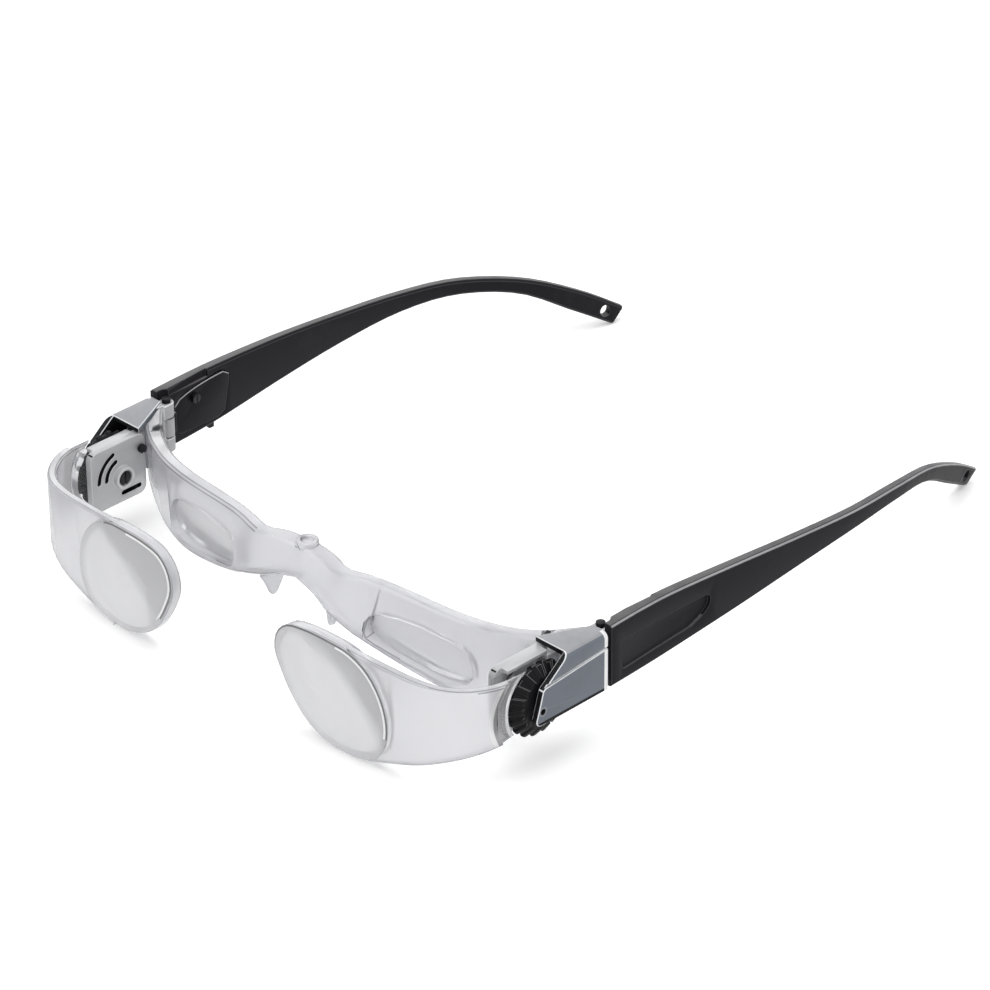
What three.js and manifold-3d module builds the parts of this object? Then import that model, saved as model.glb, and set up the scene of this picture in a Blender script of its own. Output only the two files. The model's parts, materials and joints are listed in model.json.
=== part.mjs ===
import * as THREE from 'three';
import { mergeVertices } from 'three/addons/utils/BufferGeometryUtils.js';
import Module from 'manifold-3d';

// Spectacle magnifier: clear eyepiece frame, sliding clear objective arms with oval lenses,
// grey side housings with knurled focus wheels, and black temples that fold.
// Millimetres, Z up. The wearer looks along -Y, and +X is the wearer's left side.

const wasm = await Module();
wasm.setup();

// General clearances
const seatGap = 0.3; // between pieces that sit against each other
const runGap = 0.12; // round a pin that turns in its bore
const overrun = 2; // how far a cut runs past what it cuts

// Focus wheel, which sets the place of the mechanism round it
const wheelY = 15.8;
const wheelZ = 18.2;
const wheelRadius = 9.2;
const wheelThick = 3.5;
const wheelSideGap = 0.5; // to the housing's wall
const wheelBevelInner = 1.1;
const wheelConeReach = 2.4; // of the slanted outer rim, inwards
const wheelConeDepth = 1.8; // and along the axis
const wheelTeeth = 18;
const toothDepth = 0.7;
const toothShare = 0.56; // part of the pitch that a tooth fills
const flankShare = 0.1; // part of the pitch that each half of a flank fills

// Layers of one side, from the housing's outer face inwards
const housingOuterX = 75;
const housingWall = 1.6;
const slideThick = 2.1;
const carrierThick = 1.8;
const housingInnerX = housingOuterX - housingWall;
const wheelInnerX = housingInnerX - wheelSideGap - wheelThick;
const slideOuterX = wheelInnerX - seatGap;
const slideInnerX = slideOuterX - slideThick;
const carrierOuterX = slideInnerX - seatGap;
const carrierInnerX = carrierOuterX - carrierThick;

// Eyepiece frame, given by its top rear edge
const frameTop = 27.2;
const creaseY = 15; // where the bridge meets the eye part
const housingRearY = 33.4;
const frameEndInset = 0.8; // from the housing's rear to the frame's ends
const frameReach = slideOuterX - seatGap; // half width
const frameWrap = housingRearY - frameEndInset - creaseY; // how far the ends lie behind the crease
const frameWall = 3.6;
const frameLean = 3; // most that the lower edge lies ahead of the upper edge
const frameChamfer = 0.6;
const frameSteps = 30;
// Rows: share of reach, share of wrap, top as share of frameTop, bottom likewise, wall share, lean share
const frameShares = [
  [0, 0.1, 1.037, 0.754, 1.3, 0.7],
  [0.115, 0.07, 1.018, 0.684, 1.25, 0.75],
  [0.19, 0, 0.996, 0.61, 1.05, 0.9],
  [0.26, 0.04, 1.012, 0.53, 0.98, 1],
  [0.33, 0.09, 1.015, 0.441, 0.95, 0.7],
  [0.467, 0.19, 0.99, 0.316, 1, 0.28],
  [0.613, 0.255, 0.982, 0.279, 1, 0.25],
  [0.73, 0.34, 0.984, 0.309, 0.98, 0.08],
  [0.82, 0.47, 0.985, 0.386, 1, 0],
  [0.905, 0.667, 1, 0.51, 1.1, 0],
  [1, 1, 1.04, 0.575, 1.3, 0],
];

// Small well in the top of each end
const endSlotInset = 1; // from the carrier plate inwards
const endSlotShare = 0.648; // place along the wrap
const endSlotRadius = 0.8;
const endSlotStretchShare = 1.7;
const endSlotDepth = 1.5;

// Eyepiece window and the lens in it, in a plane turned a little outwards
const windowX = 35.4;
const windowZ = 15.1;
const windowHalfWidth = 14.4;
const windowHalfHeight = 5.4;
const windowTurn = THREE.MathUtils.degToRad(9.4);
const windowSteps = 35;
const windowShares = [
  [-1, 0.5], [-0.98, -0.1], [-0.66, -0.5], [-0.1, -0.88], [0.55, -0.98],
  [0.93, -0.72], [1, -0.15], [0.86, 0.66], [0.3, 0.97], [-0.4, 1], [-0.88, 0.86],
];
const ocularEdge = 2.4;
const ocularHollow = 0.6; // depth of each concave face
const ocularInset = 2.4; // from the frame's front face to the lens
const ocularRings = 3;

// Bridge boss and nose pads
const bossRadius = 2.6;
const bossRise = 0.8;
const dimpleRadius = 1.5;
const noseX = 9.6;
const noseSetBelow = 0.98; // from the frame's lower rear edge down to the pad's middle line
const noseSetAhead = 1.26; // and forward to it
const noseSlope = 1.15; // rise of the top edge towards the bridge, and its fall away from it
const noseDrop = 5.4;
const noseHalfWidth = 3.1;
const noseThick = 1.5;
const noseTilt = THREE.MathUtils.degToRad(24);
// Where the pad's sides draw in, and its tip: across and down
const noseWaistShares = [0.6, 0.45];
const noseTipShares = [0.3, 0.88];
const noseEndShare = 1.1;

// Objective lens outline, about its centre
const lensX = 33.4;
const lensZ = 15.9;
const lensHalfWidth = 18;
const lensPlaneY = -9.2; // mid plane at the lens centre
const lensTurn = THREE.MathUtils.degToRad(3.3);
const lensEdge = 2.2;
const lensFrontBulge = 3.1;
const lensRearBulge = 0.9;
const rimWidth = 1.3;
const rimThick = 2.6;
const lensRings = 4;
const lensSteps = 48;
const lensCoreShare = 0.04; // size of the innermost ring
// Rows: across and up, as shares of lensHalfWidth
const lensShares = [
  [-0.925, 0.17], [-0.87, 0.445], [-0.68, 0.63], [-0.36, 0.69], [0, 0.69], [0.34, 0.655],
  [0.64, 0.5], [0.86, 0.22], [0.955, -0.13], [0.9, -0.47], [0.68, -0.72], [0.32, -0.81],
  [-0.05, -0.79], [-0.37, -0.665], [-0.62, -0.43], [-0.81, -0.13],
];

// Objective arm: a band round the front corner, given by its middle line seen from above
const armWall = 2.3;
const armTopDrop = 0.1; // from the frame's top
const armChamfer = 0.4;
const armSteps = 20;
const armInset = 3.1; // from the housing's outer face to the middle line
const armFrontSet = 0.2; // from the lens's mid plane to the middle line
const armRearSet = 2.8; // from the wheel's axis forward to the band's end
const armTop = frameTop - armTopDrop;
const armCornerX = housingOuterX - armInset;
const armFrontY = lensPlaneY + armFrontSet;
const armDepth = wheelY - armRearSet - armFrontY;
// Rows: share of the way from the lens's middle to armCornerX, share of armDepth behind armFrontY,
// top and bottom as shares of armTop
const armShares = [
  [0.07, -0.004, 1.03, 0.054],
  [0.253, -0.004, 1.03, 0.052],
  [0.477, 0.012, 1.028, 0.155],
  [0.636, 0.05, 1.018, 0.23],
  [0.768, 0.13, 1.008, 0.305],
  [0.873, 0.265, 1, 0.365],
  [0.951, 0.455, 1, 0.415],
  [0.993, 0.68, 1, 0.455],
  [1, 1, 0.996, 0.475],
];

// Axle and crank pin of the wheel
const axleRadius = 1.3;
const axleHeadRadius = 1.7;
const axleHeadThick = 1.1;
const axleSeat = 0.6; // how far the axle's end stands in the housing's wall
const screwSlotWidth = 0.45;
const screwSlotShare = 0.4; // depth of the slot as part of the head
const crankRadius = 5.2;
const crankSwing = THREE.MathUtils.degToRad(32); // each side of upright
const pinRadius = 0.9;
const pinDepth = 2.4; // into the wheel

// Slide plate of the arm, and the pocket round the wheel
const slideRearShare = 0.5; // part of the wheel's radius behind its axis
const slideTopDrop = 1.3; // from the frame's top
const slideDrop = 5.2; // from the wheel's axis down
const slideRearY = wheelY + wheelRadius * slideRearShare;
const slideTop = frameTop - slideTopDrop;
const slideBottom = wheelZ - slideDrop;
const pocketGap = 0.5; // between the wheel and the wall round it
const pocketWall = 1.6;
const pocketCutShare = 0.42; // how far ahead of the axis the wall ends, as part of its radius
const recessReach = 3.6; // of the thinned wall round the pocket
const recessSet = 0.4; // from the band's middle line inwards
const slotGap = 0.25;

// Carrier plate on the inner side, with ribs that guide the slide plate
const carrierRearInset = 1.8; // from the wheel's rear
const carrierDrop = 1.7; // from the slide plate's lower edge
const carrierFrontY = wheelY - wheelRadius;
const carrierRearY = wheelY + wheelRadius - carrierRearInset;
const carrierTop = frameTop;
const carrierBottom = slideBottom - carrierDrop;
const carrierCorner = 2.2;
const ribReach = 2;
const carrierBossRadius = 2.75;
const carrierBossLength = 1.5;
const arcSlotShares = [0.5, 0.75]; // radii, as parts of the wheel's
const arcSlotWidth = 1.1;
const arcSlotFrom = THREE.MathUtils.degToRad(110);
const arcSlotTo = THREE.MathUtils.degToRad(175);
const barSlotLength = 5;
const barSlotWidth = 1.2;
const barSlotBack = 2.8; // from the wheel's axis
const barSlotRise = 0.6; // from the slide plate's lower edge

// Side housing
const roofGap = 0.2; // under the roof
const roofThick = 1.4;
const roofInset = 0.2; // from the carrier plate and the hinge to the roof's inner edge
const housingTop = frameTop + roofGap + roofThick;
const housingDrop = 4; // from the wheel's axis down
const housingBottom = wheelZ - housingDrop;
const shoulderRadius = 1.6;
const roofSetBack = 5.5; // from the wheel's axis to the roof's front edge
const roofFrontY = wheelY + roofSetBack;
const blockGap = 0.4; // from the wheel to the block behind it
const noseTipSet = 4.5; // from the wheel's axis forward
const noseTipY = wheelY - noseTipSet;
const noseTipRadius = 1.6;
const cheekSet = 2.4; // where the slanted upper edge meets the curved front edge
const cheekRise = 4.4;
const cheekY = wheelY - cheekSet;
const cheekZ = wheelZ + cheekRise;
const cheekBow = 0.9;
const stepRearDrop = 4; // from the housing's top
const stepFrontRise = 0.3; // from the cheek
const stepDepth = 0.35;
const stepWidth = 0.5;
const markHoleInset = 1.9; // behind the housing's nose
const markHoleDrop = 0.6; // from the wheel's axis
const markHoleRadius = 0.55;
const markHoleDepth = 0.8;

// Foot of the eyepiece frame behind the slide plate, and the screws through it
const footRearInset = 1.8; // from the housing's rear
const footRise = 1.4; // from the housing's lower edge
const footRearY = housingRearY - footRearInset;
const footTop = slideTop;
const footBottom = housingBottom + footRise;
const carrierScrewInset = 1.4; // from the carrier's rear
const carrierScrewDrop = 2.5; // from the slide plate's top
const carrierScrewY = carrierRearY - carrierScrewInset;
const carrierScrewZ = slideTop - carrierScrewDrop;
const carrierScrewRadius = 0.7;
const carrierScrewHead = 1.1;
const carrierScrewShare = 0.6; // part of the foot that the screw goes through
const carrierBoreShare = 0.8; // and its bore
const screwHeadThick = 0.8;
const frameScrewInset = 4.2; // from the housing's rear
const frameScrewRise = 2.8; // from the wheel's axis
const frameScrewSink = 0.4; // of the head, from the carrier's inner face
const frameScrewY = housingRearY - frameScrewInset;
const frameScrewZ = wheelZ + frameScrewRise;
const frameScrewRadius = 0.9;
const frameScrewHead = 1.6;
const frameScrewInnerX = carrierInnerX + frameScrewSink;
const frameScrewEndGap = 0.9; // from the housing's wall

// Hinge
const hingeInset = 4.2; // from the housing's outer face
const hingeGap = 0.2; // between the knuckle and the housing
const knuckleRadius = 1.75;
const knuckleClear = 0.42; // round the housing's lugs
const knuckleRootShare = 0.2; // how far inwards of the axis the knuckle's root goes
const knuckleReachShare = 1.6; // and how far behind it
const hingeX = housingOuterX - hingeInset;
const hingeY = housingRearY + hingeGap + knuckleRadius;
const hingePinRadius = 0.95;
const lugHeight = 3.6;
const lugRootShare = 0.8;
const lugInset = 1; // from the housing's top
const lugRise = 0.8; // from its lower edge
const lugLowZ = housingBottom + lugRise;
const lugHighZ = housingTop - lugInset - lugHeight;
const pinRise = 1; // pin head above the upper lug
const pinHeadRadius = 1.1;

// Temple, given by its upper and lower edges seen from the side
const templeLead = 1.05; // from the hinge forward
const templeProud = 0.2; // of the housing's outer face
const templeRise = 1.4; // of the housing's top
const templeFrontY = hingeY - templeLead;
const templeLength = 142.7;
const templeOuterX = housingOuterX + templeProud;
const templeTop = housingTop + templeRise;
const templeWall = 3;
const templeChamfer = 0.5;
const templeSteps = 34;
// Rows: upper edge place as share of templeLength, lower edge place likewise, outer face as share of
// templeOuterX, upper edge height and lower edge height as shares of templeTop, wall as share of templeWall
const templeShares = [
  [0, 0, 1, 0.99, 0.47, 1.15],
  [0.07, 0.07, 1, 1, 0.482, 1.1],
  [0.145, 0.145, 1.002, 0.996, 0.507, 1.05],
  [0.285, 0.285, 1.009, 0.954, 0.572, 0.95],
  [0.42, 0.42, 1.01, 0.897, 0.632, 0.9],
  [0.56, 0.558, 1.002, 0.834, 0.668, 0.9],
  [0.685, 0.68, 0.968, 0.765, 0.64, 0.9],
  [0.81, 0.797, 0.9, 0.609, 0.5, 0.85],
  [0.918, 0.897, 0.835, 0.361, 0.218, 0.78],
  [1, 0.972, 0.786, 0.112, 0, 0.74],
];
const tipHoleRadius = 1.5;
const tipHoleShare = 0.965;

// Bare sunk panel on the temple's outer face
const panelInset = 3.3; // from the temple's front
const panelLength = 27.8;
const panelHeight = 7.7;
const panelDrop = 5.2; // from the temple's top
const panelFrontY = templeFrontY + panelInset;
const panelRearY = panelFrontY + panelLength;
const panelTop = templeTop - panelDrop;
const panelBottom = panelTop - panelHeight;
const panelDepth = 0.5;
const panelSlant = 2.4; // how far the lower rear corner lies ahead of the rounded end
const panelRise = 1.4; // how far the lower edge rises towards the rear
const panelCorner = 1.2;

// Rebate in the temple's top, which runs out towards the front, and the nub below its end
const rebateLength = 15.4; // from the temple's front
const rebateDepth = 1.9;
const rebateShare = 0.32; // most that it takes off the wall
const rebateRearY = templeFrontY + rebateLength;
const nubLength = 1.5;
const nubDrop = 0.5; // below the temple's lower edge
const nubRise = 1.4;
const nubThick = 1.2;

// Inner cover on each temple, a plate whose upper edge rises towards the rear
const coverInset = 4.5; // from the temple's front
const coverLength = 17.4;
const coverDrop = 8; // from the temple's top to the cover's middle line
const coverHeight = 11.4;
const coverFrontY = templeFrontY + coverInset;
const coverMiddleY = coverFrontY + coverLength / 2;
const coverZ = templeTop - coverDrop;
const coverThick = 1.1;
const coverProud = 0.5; // of the temple's inner face
const coverInnerX = templeOuterX - templeWall - coverProud;
const coverSteps = 22;
// Rows: along and up, as shares of half the length and half the height
const coverShares = [
  [-1, -0.85], [-1, 0], [-0.98, 0.52], [-0.7, 0.72], [-0.2, 0.9], [0.4, 1], [0.85, 1], [1, 0.8],
  [0.93, 0.2], [0.84, -0.5], [0.76, -0.92], [0.5, -1], [0, -1], [-0.6, -1], [-0.93, -1],
];
const coverScrewInset = 6; // from the cover's front
const coverScrewRise = 2.6; // from its middle line
const coverScrewY = coverFrontY + coverScrewInset;
const coverScrewZ = coverZ + coverScrewRise;
const coverScrewRadius = 0.7;
const coverScrewHead = 1.2;
const coverScrewDepth = 1.1;

// How curves and round pieces are divided
const rodSides = 18;
const smallRodSides = 12;
const wheelSides = 36;
const cornerSteps = 4;
const curveSteps = 8;
const roundEndShare = 0.499; // corner radius of a round-ended slot, as part of its width
const weldShare = 1e-4; // merging distance, as part of the seat gap

// Materials
const clearPlastic = new THREE.MeshStandardMaterial({ color: 0xdcdde2, roughness: 0.08, metalness: 0 });
const lensPlastic = new THREE.MeshStandardMaterial({ color: 0xe6e8ee, roughness: 0.03, metalness: 0 });
const padSilicone = new THREE.MeshStandardMaterial({ color: 0xe0e0e4, roughness: 0.35, metalness: 0 });
const greyPlastic = new THREE.MeshStandardMaterial({ color: 0x83878f, roughness: 0.42, metalness: 0 });
const blackPlastic = new THREE.MeshStandardMaterial({ color: 0x26242a, roughness: 0.38, metalness: 0 });
const wheelPlastic = new THREE.MeshStandardMaterial({ color: 0x1a191c, roughness: 0.5, metalness: 0 });
const screwSteel = new THREE.MeshStandardMaterial({ color: 0x8d9096, roughness: 0.3, metalness: 1 });

// Smooth curve through the rows of a table, read at a place along its first column
function tableReader(rows) {
  const slope = (i, c) => {
    const a = rows[Math.max(i - 1, 0)];
    const b = rows[Math.min(i + 1, rows.length - 1)];
    return (b[c] - a[c]) / (b[0] - a[0]);
  };
  return (place, c) => {
    let i = 0;
    while (i < rows.length - 2 && place > rows[i + 1][0]) i += 1;
    const span = rows[i + 1][0] - rows[i][0];
    const t = (place - rows[i][0]) / span;
    const blend = 3 * t ** 2 - 2 * t ** 3;
    const ends = (1 - blend) * rows[i][c] + blend * rows[i + 1][c];
    return ends + span * t * (1 - t) * ((1 - t) * slope(i, c) - t * slope(i + 1, c));
  };
}

// Closed body through rings of points, with a fan over each end
function loft(rings) {
  const count = rings[0].length;
  const points = rings.flat();
  const faces = [];
  for (let r = 0; r + 1 < rings.length; r += 1) {
    for (let i = 0; i < count; i += 1) {
      const j = (i + 1) % count;
      const a = r * count + i;
      const b = r * count + j;
      faces.push([a, b, b + count], [a, b + count, a + count]);
    }
  }
  for (const [ring, first] of [[rings[0], 0], [rings[rings.length - 1], (rings.length - 1) * count]]) {
    const middle = ring.reduce((sum, p) => sum.add(p), new THREE.Vector3()).divideScalar(count);
    points.push(middle);
    for (let i = 0; i < count; i += 1) {
      const j = (i + 1) % count;
      const face = [points.length - 1, first + j, first + i];
      faces.push(first === 0 ? face : face.reverse());
    }
  }
  const geometry = new THREE.BufferGeometry();
  geometry.setAttribute('position', new THREE.Float32BufferAttribute(points.flatMap((p) => p.toArray()), 3));
  geometry.setIndex(faces.flat());
  return facingOut(geometry);
}

// Turns a closed geometry's faces outwards
function facingOut(geometry) {
  const place = geometry.attributes.position;
  const index = geometry.index.array;
  const [a, b, c] = [new THREE.Vector3(), new THREE.Vector3(), new THREE.Vector3()];
  let volume = 0;
  for (let i = 0; i < index.length; i += 3) {
    a.fromBufferAttribute(place, index[i]);
    b.fromBufferAttribute(place, index[i + 1]);
    c.fromBufferAttribute(place, index[i + 2]);
    volume += a.dot(b.cross(c));
  }
  if (volume < 0) {
    for (let i = 0; i < index.length; i += 3) {
      [index[i], index[i + 1]] = [index[i + 1], index[i]];
    }
  }
  return geometry;
}

// Position-only copy whose shared corners are merged
function welded(geometry) {
  const bare = geometry.clone();
  for (const extra of ['normal', 'uv']) bare.deleteAttribute(extra);
  return mergeVertices(bare, seatGap * weldShare);
}

function toSolid(geometry) {
  const { attributes, index } = welded(geometry);
  const mesh = { numProp: 3, vertProperties: attributes.position.array };
  return new wasm.Manifold(new wasm.Mesh({ ...mesh, triVerts: new Uint32Array(index.array) }));
}

function toGeometry(solid) {
  const mesh = solid.getMesh();
  const geometry = new THREE.BufferGeometry();
  geometry.setAttribute('position', new THREE.BufferAttribute(mesh.vertProperties, 3));
  geometry.setIndex(new THREE.BufferAttribute(mesh.triVerts, 1));
  return geometry;
}

const join = (...parts) => parts.map(toSolid).reduce((a, b) => a.add(b));
const cut = (solid, ...tools) => tools.map(toSolid).reduce((a, b) => a.subtract(b), solid);

// Outline in Y and Z, pulled along X
function sidePlate(shape, fromX, toX, curveSegments = cornerSteps) {
  const settings = { depth: toX - fromX, bevelEnabled: false, curveSegments };
  const geometry = new THREE.ExtrudeGeometry(shape, settings);
  const turn = new THREE.Matrix4().makeBasis(
    new THREE.Vector3(0, 1, 0), new THREE.Vector3(0, 0, 1), new THREE.Vector3(1, 0, 0),
  );
  return geometry.applyMatrix4(turn).translate(fromX, 0, 0);
}

// Outline in X and Z, pulled along Y about its own centre and turned about Z
function frontPlate(shape, thick, turn, place) {
  const settings = { depth: thick, bevelEnabled: false, curveSegments: curveSteps };
  const geometry = new THREE.ExtrudeGeometry(shape, settings);
  geometry.translate(0, 0, -thick / 2).rotateX(Math.PI / 2).rotateZ(turn);
  return geometry.translate(place.x, place.y, place.z);
}

function rectangle(fromU, toU, fromV, toV, corner = 0) {
  const shape = new THREE.Shape();
  shape.moveTo(fromU + corner, fromV);
  shape.lineTo(toU - corner, fromV);
  if (corner) shape.absarc(toU - corner, fromV + corner, corner, -Math.PI / 2, 0);
  shape.lineTo(toU, toV - corner);
  if (corner) shape.absarc(toU - corner, toV - corner, corner, 0, Math.PI / 2);
  shape.lineTo(fromU + corner, toV);
  if (corner) shape.absarc(fromU + corner, toV - corner, corner, Math.PI / 2, Math.PI);
  shape.lineTo(fromU, fromV + corner);
  if (corner) shape.absarc(fromU + corner, fromV + corner, corner, Math.PI, Math.PI * 1.5);
  return shape;
}

// Straight slot with round ends
function slotShape(u, v, lengthU, lengthV, width) {
  return rectangle(
    u - (lengthU + width) / 2, u + (lengthU + width) / 2,
    v - (lengthV + width) / 2, v + (lengthV + width) / 2, width * roundEndShare,
  );
}

// Slot along an arc, measured from +Y towards +Z
function arcSlot(y, z, radius, width, from, to) {
  const shape = new THREE.Shape();
  const end = (angle) => [y + radius * Math.cos(angle), z + radius * Math.sin(angle)];
  shape.absarc(y, z, radius + width / 2, from, to);
  shape.absarc(...end(to), width / 2, to, to + Math.PI);
  shape.absarc(y, z, radius - width / 2, to, from, true);
  shape.absarc(...end(from), width / 2, from + Math.PI, from + Math.PI * 2);
  return shape;
}

// Cylinder along X
function rodX(radius, fromX, toX, y, z, sides = rodSides) {
  const geometry = new THREE.CylinderGeometry(radius, radius, toX - fromX, sides);
  return geometry.rotateZ(-Math.PI / 2).translate((fromX + toX) / 2, y, z);
}

// Cylinder along Z
function rodZ(radius, fromZ, toZ, x, y, sides = rodSides) {
  const geometry = new THREE.CylinderGeometry(radius, radius, toZ - fromZ, sides);
  return geometry.rotateX(Math.PI / 2).translate(x, y, (fromZ + toZ) / 2);
}

function block(fromX, toX, fromY, toY, fromZ, toZ) {
  const geometry = new THREE.BoxGeometry(toX - fromX, toY - fromY, toZ - fromZ);
  return geometry.translate((fromX + toX) / 2, (fromY + toY) / 2, (fromZ + toZ) / 2);
}

// Upright wall section: upper and lower points on its back face, wall along the front normal
function wallRing(backTop, backBottom, normal, wall, chamfer) {
  const up = backTop.clone().sub(backBottom).normalize().multiplyScalar(chamfer);
  const out = normal.clone().multiplyScalar(chamfer);
  const frontTop = backTop.clone().addScaledVector(normal, wall);
  const frontBottom = backBottom.clone().addScaledVector(normal, wall);
  return [
    backTop.clone().sub(up), backTop.clone().add(out),
    frontTop.clone().sub(out), frontTop.clone().sub(up),
    frontBottom.clone().add(up), frontBottom.clone().sub(out),
    backBottom.clone().add(out), backBottom.clone().add(up),
  ];
}

// Closed outline through the rows of a table of shares
function closedOutline(shares, sizeU, sizeV, count, grow = 0) {
  const points = shares.map(([u, v]) => new THREE.Vector3(u * sizeU, v * sizeV, 0));
  const curve = new THREE.CatmullRomCurve3(points, true, 'centripetal');
  const outline = curve.getSpacedPoints(count).slice(0, count);
  if (THREE.ShapeUtils.isClockWise(outline)) outline.reverse();
  return outline.map((p, i) => {
    const along = outline[(i + 1) % count].clone().sub(outline[(i + count - 1) % count]).normalize();
    return new THREE.Vector2(p.x + along.y * grow, p.y - along.x * grow);
  });
}

// Lens: edge wall with a domed or hollowed face on each side, in its own frame, front along -Y
function lensBody(outline, edge, frontBulge, backBulge, rings) {
  const middle = outline.reduce((sum, p) => sum.add(p), new THREE.Vector2()).divideScalar(outline.length);
  const ringAt = (share, y) => outline.map((p) => {
    const q = p.clone().sub(middle).multiplyScalar(share).add(middle);
    return new THREE.Vector3(q.x, y, q.y);
  });
  const sections = [];
  for (let i = 0; i <= rings; i += 1) {
    const share = Math.max(Math.sin((i / rings) * Math.PI / 2), lensCoreShare);
    sections.push(ringAt(share, -edge / 2 - frontBulge * (1 - share * share)));
  }
  for (let i = rings; i >= 0; i -= 1) {
    const share = Math.max(Math.sin((i / rings) * Math.PI / 2), lensCoreShare);
    sections.push(ringAt(share, edge / 2 + backBulge * (1 - share * share)));
  }
  return loft(sections);
}

const framePlan = tableReader(frameShares);

// The frame's top rear edge at a signed share of its reach
function framePoint(share) {
  const near = Math.abs(share);
  return new THREE.Vector3(share * frameReach, creaseY + framePlan(near, 1) * frameWrap, 0);
}

// The frame's lower rear edge there
function frameLowPoint(share) {
  const near = Math.abs(share);
  const low = framePoint(share).setZ(framePlan(near, 3) * frameTop);
  low.y -= framePlan(near, 5) * frameLean;
  return low;
}

function frameNormal(share) {
  const step = 1 / frameSteps / 4;
  const ahead = framePoint(Math.min(share + step, 1));
  const along = ahead.sub(framePoint(Math.max(share - step, -1))).normalize();
  return new THREE.Vector3(along.y, -along.x, 0);
}

function frameBand() {
  const rings = [];
  for (let i = -frameSteps; i <= frameSteps; i += 1) {
    const share = i / frameSteps;
    const near = Math.abs(share);
    const top = framePoint(share).setZ(framePlan(near, 2) * frameTop);
    const wall = framePlan(near, 4) * frameWall;
    rings.push(wallRing(top, frameLowPoint(share), frameNormal(share), wall, frameChamfer));
  }
  return loft(rings);
}

// Middle of the eyepiece window, on the frame's front face
function windowPlace() {
  const share = windowX / frameReach;
  const middle = framePoint(share).add(frameLowPoint(share)).divideScalar(2);
  return new THREE.Vector3(windowX, middle.y - framePlan(share, 4) * frameWall, windowZ);
}

const windowOutline = closedOutline(windowShares, windowHalfWidth, windowHalfHeight, windowSteps);
const windowCut = frontPlate(new THREE.Shape(windowOutline), windowHalfWidth, windowTurn, windowPlace());

// Foot on the +X side that carries the slide's carrier and meets the housing
function frameFoot() {
  const outline = rectangle(slideRearY + seatGap, footRearY, footBottom, footTop, seatGap);
  return sidePlate(outline, slideInnerX, slideOuterX);
}

function onBothSides(geometry) {
  return [geometry, mirrored(geometry)];
}

function mirrored(geometry) {
  return facingOut(welded(geometry).scale(-1, 1, 1));
}

function eyepieceFrame() {
  const bossY = framePoint(0).y - framePlan(0, 4) * frameWall / 2;
  const bossTop = framePlan(0, 2) * frameTop;
  const boss = rodZ(bossRadius, bossTop - bossRadius, bossTop + bossRise, 0, bossY);
  const dimple = rodZ(dimpleRadius, bossTop, bossTop + overrun, 0, bossY);
  const screwHoles = [
    rodX(frameScrewRadius + runGap, carrierInnerX - overrun, wheelInnerX + overrun, frameScrewY, frameScrewZ),
    rodX(frameScrewHead + seatGap, carrierInnerX - frameWall - overrun,
      frameScrewInnerX + screwHeadThick + seatGap, frameScrewY, frameScrewZ),
    rodX(carrierScrewRadius + runGap, slideInnerX - overrun, slideInnerX + slideThick * carrierBoreShare,
      carrierScrewY, carrierScrewZ),
    rodX(carrierScrewHead + seatGap, carrierInnerX - frameWall, carrierInnerX, carrierScrewY, carrierScrewZ),
  ];
  const endTrim = block(slideOuterX, housingOuterX, creaseY, housingRearY + overrun, 0, housingTop);
  const roofTrim = roofPlate(seatGap, housingTop - roofThick - seatGap, housingTop + overrun);
  const endSlot = rodZ(endSlotRadius, frameTop - endSlotDepth, housingTop + overrun, 0, 0, smallRodSides);
  endSlot.scale(1, endSlotStretchShare, 1);
  endSlot.translate(carrierInnerX - endSlotInset, creaseY + frameWrap * endSlotShare, 0);
  const cuts = [windowCut, endTrim, roofTrim, endSlot, ...screwHoles].flatMap(onBothSides);
  return toGeometry(cut(join(frameBand(), boss, ...onBothSides(frameFoot())), dimple, ...cuts));
}

function ocularLens() {
  const [halfWidth, halfHeight] = [windowHalfWidth - seatGap, windowHalfHeight - seatGap];
  const outline = closedOutline(windowShares, halfWidth, halfHeight, windowSteps);
  const body = lensBody(outline, ocularEdge, -ocularHollow, -ocularHollow, ocularRings);
  const place = windowPlace();
  body.rotateZ(windowTurn).translate(place.x, place.y, place.z);
  const back = new THREE.Vector3(-Math.sin(windowTurn), Math.cos(windowTurn), 0).multiplyScalar(ocularInset);
  return body.translate(back.x, back.y, 0);
}

// Pad below the arch: a blunt V with a rounded tip
function nosePad() {
  const shape = new THREE.Shape();
  shape.moveTo(-noseHalfWidth, noseSlope);
  shape.lineTo(noseHalfWidth, -noseSlope);
  const [waistU, waistV] = [noseHalfWidth * noseWaistShares[0], -noseDrop * noseWaistShares[1]];
  const [tipU, tipV] = [noseHalfWidth * noseTipShares[0], -noseDrop * noseTipShares[1]];
  shape.quadraticCurveTo(waistU, waistV, tipU, tipV);
  shape.quadraticCurveTo(0, -noseDrop * noseEndShare, -tipU, tipV);
  shape.quadraticCurveTo(-waistU, waistV, -noseHalfWidth, noseSlope);
  const place = frameLowPoint(noseX / frameReach);
  place.add(new THREE.Vector3(0, -noseSetAhead, -noseSetBelow));
  return frontPlate(shape, noseThick, -noseTilt, place);
}

const lensOutline = (grow) => closedOutline(lensShares, lensHalfWidth, lensHalfWidth, lensSteps, grow);
const lensPlace = new THREE.Vector3(lensX, lensPlaneY, lensZ);

function objectiveLens() {
  const body = lensBody(lensOutline(-rimWidth - seatGap), lensEdge, lensFrontBulge, lensRearBulge, lensRings);
  return body.rotateZ(lensTurn).translate(lensPlace.x, lensPlace.y, lensPlace.z);
}

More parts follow.
